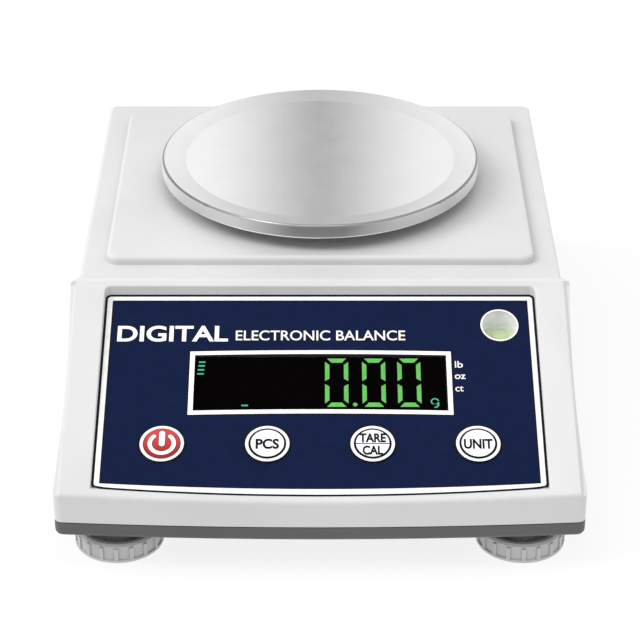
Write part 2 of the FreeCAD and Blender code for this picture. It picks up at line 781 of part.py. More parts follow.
def make_key(label, x):
    """Round cap with a retaining flange and a stem, turned about its own axis."""
    body = new_body(label)
    profile = new_sketch(body, label + "_profile", plane="XZ_Plane")
    flange = "-shell_depth - 0.3"
    draw_outline(profile, [
        ("0", flange + " - 5"),
        ("1.7", flange + " - 5"),
        ("1.7", flange + " - 1"),
        ("10", flange + " - 1"),
        ("10", flange),
        ("key_radius", flange),
        ("key_radius", "key_rise - 0.3"),
        ("key_radius - 0.3", "key_rise"),
        ("0", "key_rise"),
    ])
    revolve(body, profile)
    body.Placement = panel_place(value_of(x), value_of("key_place"))


def make_level():
    """Sight-glass level: cup, liquid and lens, upright behind a hole in the overlay."""
    body = new_body("level_housing")
    foot = "vial_top - 9.2"
    cup = new_sketch(body, "level_cup", height=foot)
    draw_circle(cup, "vial_x", "vial_y", "vial_radius + 1.8")
    pad(body, cup, "20")
    bore = new_sketch(body, "level_bore", height=foot + " + 2")
    draw_circle(bore, "vial_x", "vial_y", "vial_radius")
    pocket(body, bore, "20", reverse=True)
    above = panel_sketch(body, "level_trim", "panel_thick + 0.05")
    draw_rectangle(above, "vial_x - 15", "vial_x + 15", "60", "95")
    pocket(body, above, "20", reverse=True)
    liquid = cylinder("level_liquid", "vial_x", "vial_y", "vial_top - 7.2",
                      "vial_radius - 0.05", "5.4")
    keep("level_liquid", liquid)
    lens = new_body("level_lens")
    profile = new_sketch(lens, "lens_profile", plane="XZ_Plane")
    edge = "vial_radius - 0.05"
    draw_outline(profile, [
        ("0", "vial_top - 1.8"),
        (edge, "vial_top - 1.8"),
        (edge, "vial_top - lens_bevel"),
        (edge + " - lens_bevel", "vial_top"),
        ("0", "vial_top"),
    ])
    revolve(lens, profile)
    set_base(lens, "vial_x", "vial_y", "0")


# ---------------------------------------------------------------- weighing train
def make_chassis():
    """Steel plate that the load cell is bolted to, with its screws and spacer."""
    low = "chassis_low"
    top = "chassis_low + chassis_thick"
    plate = box("chassis_blank", -33, -27, low, 66, 151, "chassis_thick")
    rows = [("chassis_hole", CHASSIS_POSTS, 2), ("stop_hole", STOP_PLACES, 2),
            ("cell_hole", [(0, y) for y in CELL_FIXED_HOLES], 3.1)]
    holes = [cylinder("%s_%d" % (name, index), x, y, low + " - 1", radius, "chassis_thick + 2")
             for name, places, radius in rows for index, (x, y) in enumerate(places)]
    keep("chassis_plate", cut("chassis_plate", plate, *holes))
    screws = [screw("chassis_screw_%d" % index, x, y, value_of(top), 1.35, 6.5, 3.2, 2.4, up=False)
              for index, (x, y) in enumerate(CHASSIS_POSTS)]
    group("chassis_screws", screws)
    block = box("spacer_blank", "-cell_width / 2", 89.5, top, "cell_width", 25,
                "cell_bottom - (%s)" % top)
    bores = [cylinder("spacer_bore_%d" % index, 0, y, low, 3.1, 8)
             for index, y in enumerate(CELL_FIXED_HOLES)]
    keep("cell_spacer", cut("cell_spacer", block, *bores))
    stops = []
    for index, (x, y) in enumerate(STOP_PLACES):
        thread = cylinder("stop_thread_%d" % index, x, y, low, 2, "chassis_thick")
        knob = cylinder("stop_head_%d" % index, x, y, top, 3.2, "cell_bottom - (%s) - 0.6" % top)
        stops.append(fuse("overload_stop_%d" % index, thread, knob))
    group("overload_stops", stops)


def make_load_cell():
    """Single-point beam with two bores joined by a slot, which let it bend."""
    low = "cell_bottom"
    blank = box("cell_blank", "-cell_width / 2", "pan_y - cell_length / 2", low,
                "cell_width", "cell_length", "cell_height")
    middle = "cell_bottom + cell_height / 2"
    tools = [cylinder("flex_bore_%d" % index, "-cell_width / 2 - 1", "pan_y + %s" % offset,
                      middle, 8.5, "cell_width + 2", axis=X_AXIS)
             for index, offset in enumerate(FLEX_PLACES)]
    tools.append(box("flex_slot", "-cell_width / 2 - 1", "pan_y - 16", middle + " - 1.5",
                     "cell_width + 2", 32, 3))
    tools += [cylinder("fixed_bore_%d" % index, 0, y, "cell_bottom - 1", 3, 14)
              for index, y in enumerate(CELL_FIXED_HOLES)]
    tools += [cylinder("live_bore_%d" % index, 0, y, "cell_bottom + cell_height - 14", 3, 15)
              for index, y in enumerate(CELL_LIVE_HOLES)]
    keep("load_cell", cut("load_cell", blank, *tools))
    screws = [screw("cell_screw_%d" % index, 0, y, value_of("chassis_low"), 2.9, 17, 5, 2.6)
              for index, y in enumerate(CELL_FIXED_HOLES)]
    group("cell_screws", screws)
    patches = []
    faces = (("upper", "cell_bottom + cell_height"), ("lower", "cell_bottom - 0.8"))
    for index, offset in enumerate(FLEX_PLACES):
        for name, z in faces:
            patches.append(box("gauge_%s_%d" % (name, index), -4, "pan_y + %s - 6" % offset,
                               z, 8, 12, 0.8))
    group("strain_gauges", patches)


def make_carrier():
    """Bracket, stem, support disc and cushions that ride on the cell's free end."""
    deck = "cell_bottom + cell_height + 3"
    plate = box("bracket_plate", -15, -15.5, deck, 30, 83.5, 4)
    foot = box("bracket_foot", -15, -15.5, "cell_bottom + cell_height", 30, 25, 3)
    bores = [cylinder("bracket_bore_%d" % index, 0, y, "cell_bottom + cell_height - 1", 3.1, 10)
             for index, y in enumerate(CELL_LIVE_HOLES)]
    bores.append(cylinder("bracket_stem_bore", 0, "pan_y", deck + " - 1", 4, 6))
    blank = fuse("bracket_blank", plate, foot)
    keep("pan_bracket", cut("pan_bracket", blank, *bores))
    seat = value_of(deck) + 4
    screws = [screw("bracket_screw_%d" % index, 0, y, seat, 2.9, 18, 5, 3.4, up=False)
              for index, y in enumerate(CELL_LIVE_HOLES)]
    group("bracket_screws", screws)
    support = "pan_rim - pan_well - pan_sheet - 3.5"
    column = cylinder("stem_column", 0, "pan_y", deck + " + 4", 7,
                      "%s - (%s + 4)" % (support, deck))
    spigot = cylinder("stem_spigot", 0, "pan_y", deck, 4, 4)
    tapping = cylinder("stem_tapping", 0, "pan_y", support + " - 9", 2, 12)
    keep("pan_stem", cut("pan_stem", fuse("stem_blank", column, spigot), tapping))
    make_pan_support(support)


def make_pan_support(low):
    body = new_body("pan_support")
    profile = new_sketch(body, "support_profile", plane="XZ_Plane", height="-pan_y")
    base = "(" + low + ")"
    draw_outline(profile, [
        ("2.3", base),
        ("16", base),
        ("16", base + " - 4.4"),
        ("17.6", base + " - 4.4"),
        ("17.6", base),
        ("47", base),
        ("48", base + " + 1"),
        ("48", base + " + 2.6"),
        ("5.1", base + " + 2.6"),
        ("5.1", base + " + 0.9"),
        ("2.3", base + " + 0.9"),
    ])
    revolve(body, profile)
    cushions = []
    reach = 38 / math.sqrt(2)
    for index, (x, y) in enumerate([(-1, -1), (1, -1), (1, 1), (-1, 1)]):
        cushions.append(cylinder("cushion_%d" % index, x * reach, "pan_y + %s" % (y * reach),
                                 base + " + 2.6", 5, "0.9"))
    group("pan_cushions", cushions)
    head = cylinder("support_screw_head", 0, "pan_y", base + " + 0.9", 5, "1.6")
    shank = cylinder("support_screw_shank", 0, "pan_y", base + " - 8", 2, "8.9")
    drive = cylinder("support_screw_drive", 0, "pan_y", base + " + 1.5", 2, "2")
    keep("support_screw", cut("support_screw", fuse("support_screw_blank", head, shank), drive))


def make_pan():
    """Pressed stainless pan: flat floor, conical border, rolled rim and skirt."""
    body = new_body("weighing_pan")
    profile = new_sketch(body, "pan_profile", plane="XZ_Plane", height="-pan_y")
    floor = "pan_rim - pan_well"
    hem = "pan_rim - pan_skirt"
    under = "pan_rim - pan_sheet"
    draw_outline(profile, [
        ("0", floor + " - pan_sheet"),
        ("pan_floor_radius + 0.2", floor + " - pan_sheet"),
        ("pan_radius - pan_roll - 0.5", under + " - 0.3"),
        ("pan_radius - pan_sheet", under + " - 0.7"),
        ("pan_radius - pan_sheet", hem),
        ("pan_radius - pan_hem", hem, "pan_hem", CONVEX),
        ("pan_radius", hem + " + pan_hem"),
        ("pan_radius", "pan_rim - pan_roll", "pan_roll", CONVEX),
        ("pan_radius - pan_roll", "pan_rim"),
        ("pan_floor_radius", floor),
        ("0", floor),
    ])
    revolve(body, profile)


# ---------------------------------------------------------------- electronics
def make_main_board():
    top = value_of("board_level + board_thick")
    blank = box("board_blank", 20, 28, "board_level", 47, 92, "board_thick")
    holes = [cylinder("board_hole_%d" % index, x, y, 26, 1.5, 4)
             for index, (x, y) in enumerate(BOARD_POSTS)]
    keep("main_board", cut("main_board", blank, *holes))
    screws = [screw("board_screw_%d" % index, x, y, top, 1.15, 9, 2.5, 1.8, up=False)
              for index, (x, y) in enumerate(BOARD_POSTS)]
    group("board_screws", screws)
    chips = [box("processor", 30, 72, top, 12, 12, 1.6),
             box("memory", 30, 90, top, 8, 5, 1.5),
             box("driver", 50, 44, top, 10, 6, 1.5),
             box("regulator", 54, 90, top, 7, 6, 2.4)]
    group("board_chips", chips)
    cans = [cylinder("capacitor_%d" % index, 46.5, y, top, 3.6, 9)
            for index, y in enumerate((90, 99))]
    group("board_capacitors", cans)
    keep("adc_shield", box("adc_shield", 24, 44, top, 20, 20, 7))
    keep("buzzer", cylinder("buzzer", 58, 76, top, 6, 7.5))
    make_connectors(top)


def make_connectors(top):
    """Power inlet and serial port that reach through the back wall."""
    back = value_of("overall_depth / 2")
    case = box("inlet_case", "dc_x - 4.5", 112, top, 9, back - 2.9 - 112, 11)
    nose = cylinder("inlet_nose", "dc_x", back - 2.9, "dc_height", 4, 2.6, axis=Y_AXIS)
    bore = cylinder("inlet_bore", "dc_x", back - 12, "dc_height", 3.1, 20, axis=Y_AXIS)
    pin = cylinder("inlet_pin", "dc_x", back - 12.5, "dc_height", 1, 11.5, axis=Y_AXIS)
    hollow = cut("inlet_hollow", fuse("inlet_blank", case, nose), bore)
    keep("power_inlet", fuse("power_inlet", hollow, pin))
    flange = box("port_flange", "port_x - 15.4", back - 3.6, "port_height - 6.2", 30.8, 0.9, 12.4)
    case = box("port_case", "port_x - 9.5", 110, top, 19, back - 3.6 - 110, 12)
    shell = box("port_shell", "port_x - 8.5", back - 2.7, "port_height - 4.2", 17, 2.5, 8.4)
    holes = [cylinder("port_hole_%d" % index, "port_x + %s" % side, back - 5, "port_height",
                      1.7, 4, axis=Y_AXIS) for index, side in enumerate(JACK_PLACES)]
    keep("serial_port", cut("serial_port", fuse("port_blank", flange, case, shell), *holes))
    jacks = []
    for index, side in enumerate(JACK_PLACES):
        x = "port_x + %s" % side
        hexagon = doc.addObject("Part::Prism", "jack_hexagon_%d" % index)
        hexagon.Polygon = 6
        hexagon.Circumradius = 2.8
        hexagon.Height = 2.4
        hexagon.Placement.Rotation = FreeCAD.Rotation(Z_AXIS, Y_AXIS)
        set_base(hexagon, x, back - 2.7, "port_height")
        thread = cylinder("jack_thread_%d" % index, x, back - 7, "port_height", 1.6, 4.5,
                          axis=Y_AXIS)
        bore = cylinder("jack_bore_%d" % index, x, back - 8, "port_height", 1.25, 10,
                        axis=Y_AXIS)
        jacks.append(cut("jack_post_%d" % index,
                         fuse("jack_blank_%d" % index, hexagon, thread), bore))
    group("port_jack_posts", jacks)


def thick_line(points, thickness):
    """Outline of a bent strip: the middle line moved half a thickness each way."""
    sides = [[], []]
    for index, point in enumerate(points):
        before = point - points[index - 1] if index else points[1] - point
        after = points[index + 1] - point if index + 1 < len(points) else before
        before = FreeCAD.Vector(before).normalize()
        after = FreeCAD.Vector(after).normalize()
        across = X_AXIS.cross(before + after).normalize()
        reach = thickness / 2 / across.dot(X_AXIS.cross(before))
        sides[0].append(point + across * reach)
        sides[1].append(point - across * reach)
    return sides[0] + sides[1][::-1]


def make_leads():
    """Flat ribbon from the panel to the main board, and the load cell's lead."""
    top = value_of("board_level + board_thick")
    upper = panel_box("upper_socket", 41, 46, -16.1, 18, 6, 4)
    lower = box("lower_socket", 41, 30, top, 18, 6, 5)
    group("ribbon_sockets", [upper, lower])
    start = panel_place(42, 49, -16.4).Base
    heights = [(start.y, start.z), (-62, 22), (0, 22), (18, 38.5), (33, 38.5), (33, top + 5)]
    line = [FreeCAD.Vector(42, y, z) for y, z in heights]
    outline = thick_line(line, 0.8)
    face = Part.Face(Part.makePolygon(outline + [outline[0]]))
    ribbon = doc.addObject("Part::Feature", "panel_ribbon")
    ribbon.Shape = face.extrude(FreeCAD.Vector(16, 0, 0))
    keep("panel_ribbon", ribbon)
    side = value_of("cell_width") / 2
    route = [(side, -2, 36.4), (28, -2, 36.4), (28, 22, 33), (28, 43.9, 33)]
    lead = doc.addObject("Part::Feature", "cell_lead")
    lead.Shape = tube([FreeCAD.Vector(*point) for point in route], 1.8, 5)
    keep("cell_lead", lead)


def tube(points, radius, bend):
    """Round lead of straight runs joined by tangent arcs."""
    edges = []
    start = points[0]
    for index in range(1, len(points) - 1):
        corner = points[index]
        back = (points[index - 1] - corner).normalize()
        ahead = (points[index + 1] - corner).normalize()
        half = back.getAngle(ahead) / 2
        trim = bend / math.tan(half)
        entry = corner + back * trim
        leave = corner + ahead * trim
        inward = (back + ahead).normalize()
        middle = corner + inward * (bend / math.sin(half) - bend)
        edges.append(Part.LineSegment(start, entry).toShape())
        edges.append(Part.Arc(entry, middle, leave).toShape())
        start = leave
    edges.append(Part.LineSegment(start, points[-1]).toShape())
    path = Part.Wire(edges)
    ring = Part.Wire([Part.makeCircle(radius, points[0], points[1] - points[0])])
    return path.makePipeShell([ring], True, False)


# ---------------------------------------------------------------- feet
def make_foot(name, x, y):
    """Rubber glide, knurled wheel and threaded stud of one levelling foot."""
    glide = new_body("foot_glide_" + name)
    profile = new_sketch(glide, "glide_profile_" + name, plane="XZ_Plane")
    draw_outline(profile, [
        ("0", "0"), ("12.4", "0"), ("13", "0.6"), ("13", "1.2"), ("0", "1.2")])
    revolve(glide, profile)
    set_base(glide, x, y, "0")
    wheel = new_body("foot_wheel_" + name)
    rim = new_sketch(wheel, "wheel_profile_" + name, plane="XZ_Plane")
    high = "(foot_low + foot_height)"
    draw_outline(rim, [
        ("3", "foot_low + 1"), ("13.3", "foot_low + 1"), ("13.3", "foot_low"),
        ("foot_radius", "foot_low"), ("foot_radius", "foot_low + 1"),
        ("foot_radius - 0.6", "foot_low + 1.2"), ("foot_radius - 0.6", high + " - 0.8"),
        ("foot_radius - 1.4", high), ("13.9", high), ("13.3", high + " - 0.6"),
        ("13.3", "foot_low + 3"), ("8", "foot_low + 3"), ("8", high + " - 1"),
        ("3", high + " - 1")])
    revolve(wheel, rim)
    rib = new_sketch(wheel, "rib_" + name, height="foot_low + 1.1")
    draw_rectangle(rib, "-foot_rib / 2", "foot_rib / 2", "-foot_radius", "2 - foot_radius")
    ribs = pad(wheel, rib, "foot_height - 2.5")
    pattern = wheel.newObject("PartDesign::PolarPattern", "ribs_" + name)
    pattern.Originals = [ribs]
    pattern.Axis = (rib, ["N_Axis"])
    pattern.Angle = FULL_TURN
    pattern.Occurrences = RIB_COUNT
    wheel.Tip = pattern
    set_base(wheel, x, y, "0")
    stud = cylinder("foot_stud_" + name, x, y, "foot_low + 1", "stud_radius",
                    "stud_top - foot_low - 1")
    keep("foot_stud_" + name, stud)


def make_foot_inserts():
    inserts = []
    for name, (x, y) in zip(FOOT_NAMES, foot_places()):
        body = cylinder("insert_body_" + name, x, y, "base_bottom + 0.5", 4, 10.5)
        bore = cylinder("insert_bore_" + name, x, y, "base_bottom", 3.05, 12)
        inserts.append(cut("insert_" + name, body, bore))
    group("foot_inserts", inserts)


def make_rating_plate():
    keep("rating_plate", box("rating_plate", -32, 20, "base_bottom - 0.4", 64, 34, 0.4))


# ---------------------------------------------------------------- build and write
def make_balance():
    fill_sheet()
    make_top_cover()
    make_base_tray()
    make_cover_screws()
    make_overlay()
    make_display()
    make_key_board()
    make_panel_screws()
    for label, x in KEYS:
        make_key(label, x)
    make_level()
    make_chassis()
    make_load_cell()
    make_carrier()
    make_pan()
    make_main_board()
    make_leads()
    make_foot_inserts()
    for name, (x, y) in zip(FOOT_NAMES, foot_places()):
        make_foot(name, x, y)
    make_rating_plate()
    doc.recompute()


def check_document():
    """Refuse a failed feature or a sub-part with no sound shape."""
    for obj in doc.Objects:
        if "Invalid" in obj.State or "Error" in obj.State:
            raise ValueError("%s failed: %s" % (obj.Name, obj.State))
    for obj in sub_parts:
        if obj.Shape.isNull() or not obj.Shape.isValid():
            raise ValueError("%s has no sound shape" % obj.Label)


def write_parts():
    os.makedirs("parts", exist_ok=True)
    for obj in sub_parts:
        obj.Shape.exportStep("parts/%s.step" % obj.Label)


make_balance()
check_document()
write_parts()
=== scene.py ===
import json
import math

import bmesh
import bpy
from mathutils import Matrix, Vector
from mathutils.geometry import tessellate_polygon


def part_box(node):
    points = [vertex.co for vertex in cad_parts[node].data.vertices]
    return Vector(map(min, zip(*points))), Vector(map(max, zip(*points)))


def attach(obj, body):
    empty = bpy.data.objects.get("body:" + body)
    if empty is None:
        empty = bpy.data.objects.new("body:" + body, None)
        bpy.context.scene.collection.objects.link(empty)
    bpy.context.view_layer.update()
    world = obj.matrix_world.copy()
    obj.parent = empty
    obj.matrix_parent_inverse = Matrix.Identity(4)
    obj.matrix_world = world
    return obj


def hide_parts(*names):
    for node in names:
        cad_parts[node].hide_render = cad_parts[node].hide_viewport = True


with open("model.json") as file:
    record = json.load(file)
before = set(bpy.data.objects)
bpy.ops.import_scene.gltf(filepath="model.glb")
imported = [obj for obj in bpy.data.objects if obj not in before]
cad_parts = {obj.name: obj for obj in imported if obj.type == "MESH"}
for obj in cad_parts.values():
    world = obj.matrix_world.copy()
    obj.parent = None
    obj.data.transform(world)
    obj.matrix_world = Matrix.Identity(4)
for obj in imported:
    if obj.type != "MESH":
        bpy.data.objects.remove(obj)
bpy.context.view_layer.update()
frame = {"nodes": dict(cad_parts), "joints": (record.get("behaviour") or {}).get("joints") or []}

MM = 0.001
HOUSING = "housing"
BLACK = (0, 0, 0, 1)
CLEAN = (1, 1, 1, 1)


# ---------------------------------------------------------------- material nodes

NOISE_LOW = 0.3  # nearly all of a noise texture lies between these two
NOISE_HIGH = 0.7
MIX_FIRST = 6  # the colour sockets of a Mix node, which has sockets of every type
MIX_SECOND = 7
MIX_RESULT = 2


def scaled(colour, factor):
    return tuple(min(1.0, c * factor) for c in colour[:3]) + (1.0,)


def computed(tree, kind, operation, values):
    """Outputs of a maths node whose inputs are constants or other nodes' outputs."""
    node = tree.nodes.new(kind)
    node.operation = operation
    for value, socket in zip(values, node.inputs):
        if isinstance(value, bpy.types.NodeSocket):
            tree.links.new(value, socket)
        else:
            socket.default_value = value
    return node.outputs


class Nodes:
    """One material's node tree, with short calls for the nodes used here."""

    def __init__(self, name):
        self.material = bpy.data.materials.new(name)
        self.material.use_nodes = True
        self.tree = self.material.node_tree
        self.shader = self.tree.nodes["Principled BSDF"]
        self.position = self.add("ShaderNodeTexCoord").outputs["Object"]

    def add(self, kind, **values):
        """A node, with its properties or the constants on its sockets given by name."""
        node = self.tree.nodes.new(kind)
        for key, value in values.items():
            if hasattr(node, key):
                setattr(node, key, value)
            else:
                node.inputs[key].default_value = value
        return node

    def link(self, output, socket):
        self.tree.links.new(output, socket)

    def maths(self, operation, *values):
        return computed(self.tree, "ShaderNodeMath", operation, values)["Value"]

    def vector(self, operation, *values, result="Vector"):
        return computed(self.tree, "ShaderNodeVectorMath", operation, values)[result]

    def along(self, vector, axis):
        """One component of a vector."""
        split = self.add("ShaderNodeSeparateXYZ")
        self.link(vector, split.inputs["Vector"])
        return split.outputs[axis]

    def noise(self, scale, detail=2.0, stretch=(1, 1, 1)):
        """Noise in real coordinates: scale is in features per metre."""
        mapping = self.add("ShaderNodeMapping")
        mapping.inputs["Scale"].default_value = stretch
        self.link(self.position, mapping.inputs["Vector"])
        noise = self.add("ShaderNodeTexNoise", Scale=scale, Detail=detail)
        self.link(mapping.outputs["Vector"], noise.inputs["Vector"])
        return noise.outputs["Fac"]

    def ramp(self, factor, low_colour, high_colour, low=0.35, high=0.65):
        ramp = self.add("ShaderNodeValToRGB")
        ramp.color_ramp.elements[0].position = low
        ramp.color_ramp.elements[0].color = low_colour
        ramp.color_ramp.elements[1].position = high
        ramp.color_ramp.elements[1].color = high_colour
        self.link(factor, ramp.inputs["Fac"])
        return ramp.outputs["Color"]

    def span(self, value, low, high, low_result=0.0, high_result=1.0):
        """A value from low to high, brought to the range of the results."""
        mapped = self.add("ShaderNodeMapRange")
        limits = (("From Min", low), ("From Max", high),
                  ("To Min", low_result), ("To Max", high_result))
        for socket, limit in limits:
            mapped.inputs[socket].default_value = limit
        self.link(value, mapped.inputs["Value"])
        return mapped.outputs["Result"]

    def spread(self, noise, low, high):
        """Noise brought into the range from low to high."""
        return self.span(noise, NOISE_LOW, NOISE_HIGH, low, high)

    def bump(self, height, distance, strength=1.0, below=None):
        bump = self.add("ShaderNodeBump", Strength=strength, Distance=distance)
        self.link(height, bump.inputs["Height"])
        if below is not None:
            self.link(below, bump.inputs["Normal"])
        return bump.outputs["Normal"]

    def facing(self, axis):
        """How far the surface faces along an axis of the frame, either way: 0 to 1."""
        normal = self.add("ShaderNodeNewGeometry").outputs["Normal"]
        return self.maths("ABSOLUTE", self.along(normal, axis))

    def mix(self, factor, first, second):
        mix = self.add("ShaderNodeMix", data_type="RGBA")
        self.link(factor, mix.inputs["Factor"])
        for value, index in ((first, MIX_FIRST), (second, MIX_SECOND)):
            if isinstance(value, tuple):
                mix.inputs[index].default_value = value
            else:
                self.link(value, mix.inputs[index])
        return mix.outputs[MIX_RESULT]

    def set(self, **values):
        for key, value in values.items():
            self.shader.inputs[key.replace("_", " ")].default_value = value

    def finish(self, colour=None, roughness=None, normal=None):
        pairs = ((colour, "Base Color"), (roughness, "Roughness"), (normal, "Normal"))
        for output, socket in pairs:
            if output is not None:
                self.link(output, self.shader.inputs[socket])
        return self.material


# ---------------------------------------------------------------- kinds of material

RUBBED_EDGE = (0.52, 0.62)
RUBBED_GAIN = 1.06
METAL_SPOTS = 0.06
METAL_RELIEF = 0.004
# shares of a key's height over which the painted shade on its red inks gives way
KEY_SLOPE = (0.2, 0.6)
PAN_FACE_LOW = (0.775, 0.78, 0.785, 1)
PAN_FACE_HIGH = (0.80, 0.80, 0.805, 1)
PAN_CROWN = 4.8  # times the square of the metres across, how far the face seems to fall
PAN_ROLL = 1.1 * MM  # width of the rolled edge, across the radius
HEM_HIGHLIGHT_HEIGHT = 0.75 * MM  # height of the hem below the skirt that gets a painted highlight
# painted dark reflection on the rolled edge of the pan, in place of its highlight
ROLL_PAINTED_REFLECTION = (0.31, 0.31, 0.32, 1)
ROLL_PAINTED_REFLECTION_FROM = (0.05, 0.20)  # shares of the roll over which the face turns into the painted dark reflection
ROLL_PAINTED_REFLECTION_TO = (0.80, 0.95)  # and the painted dark reflection into the skirt's colour
HEM_HIGHLIGHT_TO = (0.8, 1.0)  # shares of the hem's height over which its painted highlight ends
# painted reflection on the skirt: dark facing front and back, where it mirrors the shade under the
# pan, and light facing the sides; the light colour is also the hem's painted highlight
SKIRT_FRONT_PAINTED_REFLECTION = (0.27, 0.27, 0.275, 1)
SKIRT_SIDE_PAINTED_HIGHLIGHT = (0.97, 0.97, 0.98, 1)
SKIRT_TURN = (0.15, 0.85)  # how far it faces sideways, from the front's painted reflection of shade to the side's painted highlight
SKIRT_UPRIGHT = (0.1, 0.35)  # how far a surface faces up, from the skirt's look to the face's
BRUSHING = (1, 0.02, 0.02)
ACRYLIC_IOR = 1.49


def moulded(name, colour, roughness=0.42, grain=2600, depth=0.006, specular=0.5, wear=0.04):
    """Injection-moulded plastic: fine spark-eroded grain, faint flow clouds, lighter rubbed
    edges. The grain's depth is in millimetres."""
    n = Nodes(name)
    clouds = n.ramp(n.noise(18, 3), scaled(colour, 1 - wear), scaled(colour, 1 + wear * 0.5))
    edges = n.add("ShaderNodeNewGeometry").outputs["Pointiness"]
    rubbed = n.ramp(edges, BLACK, CLEAN, *RUBBED_EDGE)
    base = n.mix(rubbed, clouds, scaled(colour, RUBBED_GAIN))
    rough = n.spread(n.noise(90, 4), roughness - 0.05, roughness + 0.06)
    coarse = n.bump(n.noise(60, 2), depth * MM * 2, 0.25)
    fine = n.bump(n.noise(grain, 1), depth * MM, 0.6, coarse)
    n.set(Specular_IOR_Level=specular)
    return n.finish(base, rough, fine)


def printed(name, colour, roughness=0.45, specular=0.12):
    """Screen-printed ink or coloured film: faint weave of the screen and slight unevenness."""
    n = Nodes(name)
    base = n.ramp(n.noise(240, 4), scaled(colour, 0.93), scaled(colour, 1.05))
    rough = n.spread(n.noise(500, 3), roughness - 0.06, roughness + 0.08)
    normal = n.bump(n.noise(5200, 1), 0.003 * MM, 0.5)
    n.set(Specular_IOR_Level=specular)
    return n.finish(base, rough, normal)


def sloped(name, node, low_colour, high_colour):
    """Ink on a key, with painted shade: it darkens towards the key's lower edge."""
    low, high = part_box(node)
    n = Nodes(name)
    height = n.span(n.along(n.position, "Y"), low.y, high.y)
    base = n.ramp(height, low_colour, high_colour, *KEY_SLOPE)
    n.set(Specular_IOR_Level=0.25)
    return n.finish(base, n.spread(n.noise(900, 2), 0.35, 0.45))


def metal(name, colour, roughness=0.35, grain=(1, 1, 1), scale=900):
    """Bare or plated metal: the stretched noise gives the finish its direction, and there are
    faint stains and rubs."""
    n = Nodes(name)
    spotted = (scaled(colour, 1 - METAL_SPOTS), scaled(colour, 1 + METAL_SPOTS * 0.5))
    base = n.ramp(n.noise(120, 4), *spotted)
    rough = n.spread(n.noise(scale, 3, grain), roughness - 0.07, roughness + 0.08)
    normal = n.bump(n.noise(scale * 2, 2, grain), METAL_RELIEF * MM, 0.7)
    n.set(Metallic=1.0)
    return n.finish(base, rough, normal)


def satin_pan(name, node):
    """Satin stainless sheet: fine brushing from front to back and a face very slightly crowned
    across. Its colour paints light: a dark painted reflection on the rolled edge, a skirt darker
    at the front and back than at the sides as a painted reflection of the shade under the pan, and
    a painted highlight along the skirt's hem."""
    low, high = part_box(node)
    n = Nodes(name)
    from_centre = n.vector("SUBTRACT", n.position, (low + high) / 2)
    across = n.vector("MULTIPLY", from_centre, (1, 0, 0))
    square = n.vector("DOT_PRODUCT", across, across, result="Value")
    crown = n.maths("MULTIPLY", square, -PAN_CROWN)
    radius = n.vector("LENGTH", n.vector("MULTIPLY", from_centre, (1, 1, 0)), result="Value")
    outer = (high.x - low.x) / 2
    reach = n.span(radius, outer - PAN_ROLL, outer)
    rise = n.span(n.along(n.position, "Z"), low.z, low.z + HEM_HIGHLIGHT_HEIGHT)

    face = n.ramp(n.noise(60, 4), PAN_FACE_LOW, PAN_FACE_HIGH)
    # painted reflection: the skirt is dark where it faces front or back and light where it faces
    # the sides
    skirt = n.ramp(n.facing("X"), SKIRT_FRONT_PAINTED_REFLECTION, SKIRT_SIDE_PAINTED_HIGHLIGHT, *SKIRT_TURN)
    # painted dark reflection along the rolled edge, giving way to the skirt's colour on its outer
    # part
    painted_roll_reflection = n.mix(n.ramp(reach, BLACK, CLEAN, *ROLL_PAINTED_REFLECTION_FROM), face, ROLL_PAINTED_REFLECTION)
    rolled = n.mix(n.ramp(reach, BLACK, CLEAN, *ROLL_PAINTED_REFLECTION_TO), painted_roll_reflection, skirt)
    # painted highlight along the hem at the foot of the skirt
    painted_hem_highlight = n.mix(n.ramp(rise, CLEAN, BLACK, *HEM_HIGHLIGHT_TO), skirt, SKIRT_SIDE_PAINTED_HIGHLIGHT)
    upright = n.ramp(n.facing("Z"), CLEAN, BLACK, *SKIRT_UPRIGHT)
    base = n.mix(upright, rolled, painted_hem_highlight)
    rough = n.spread(n.noise(140, 4), 0.33, 0.37)
    crowned = n.bump(crown, 1.0)
    brushed = n.bump(n.noise(1400, 2, BRUSHING), 0.0012 * MM, 0.3, crowned)
    n.set(Metallic=1.0)
    return n.finish(base, rough, brushed)


def lit(name, colour, strength):
    """A glowing display segment, a little uneven like a real one behind its filter."""
    n = Nodes(name)
    glow = n.ramp(n.noise(420, 3), scaled(colour, 0.86), scaled(colour, 1.08))
    n.link(glow, n.shader.inputs["Emission Color"])
    n.set(Emission_Strength=strength, Specular_IOR_Level=0.05)
    base = n.ramp(n.noise(300, 2), scaled(colour, 0.2), scaled(colour, 0.25))
    return n.finish(base, n.spread(n.noise(900, 2), 0.4, 0.55))


def clear(name, colour, alpha):
    """Clear acrylic, seen mostly by its gloss."""
    n = Nodes(name)
    n.set(Alpha=alpha, IOR=ACRYLIC_IOR)
    base = n.ramp(n.noise(150, 2), scaled(colour, 0.98), colour)
    rough = n.spread(n.noise(300, 3), 0.04, 0.08)
    return n.finish(base, rough, n.bump(n.noise(200, 2), 0.004 * MM, 0.2))


def glowing_through(name, colour, glow):
    """Milky clear plastic or tinted liquid, with painted light: a faint glow in its colour stands
    in for light that passes through it.
    """
    n = Nodes(name)
    clouds = n.ramp(n.noise(220, 3), scaled(colour, 0.94), scaled(colour, 1.04))
    n.link(clouds, n.shader.inputs["Emission Color"])
    n.set(Emission_Strength=glow, Specular_IOR_Level=0.3)
    return n.finish(clouds, n.spread(n.noise(300, 2), 0.25, 0.4))


# ---------------------------------------------------------------- materials of the object

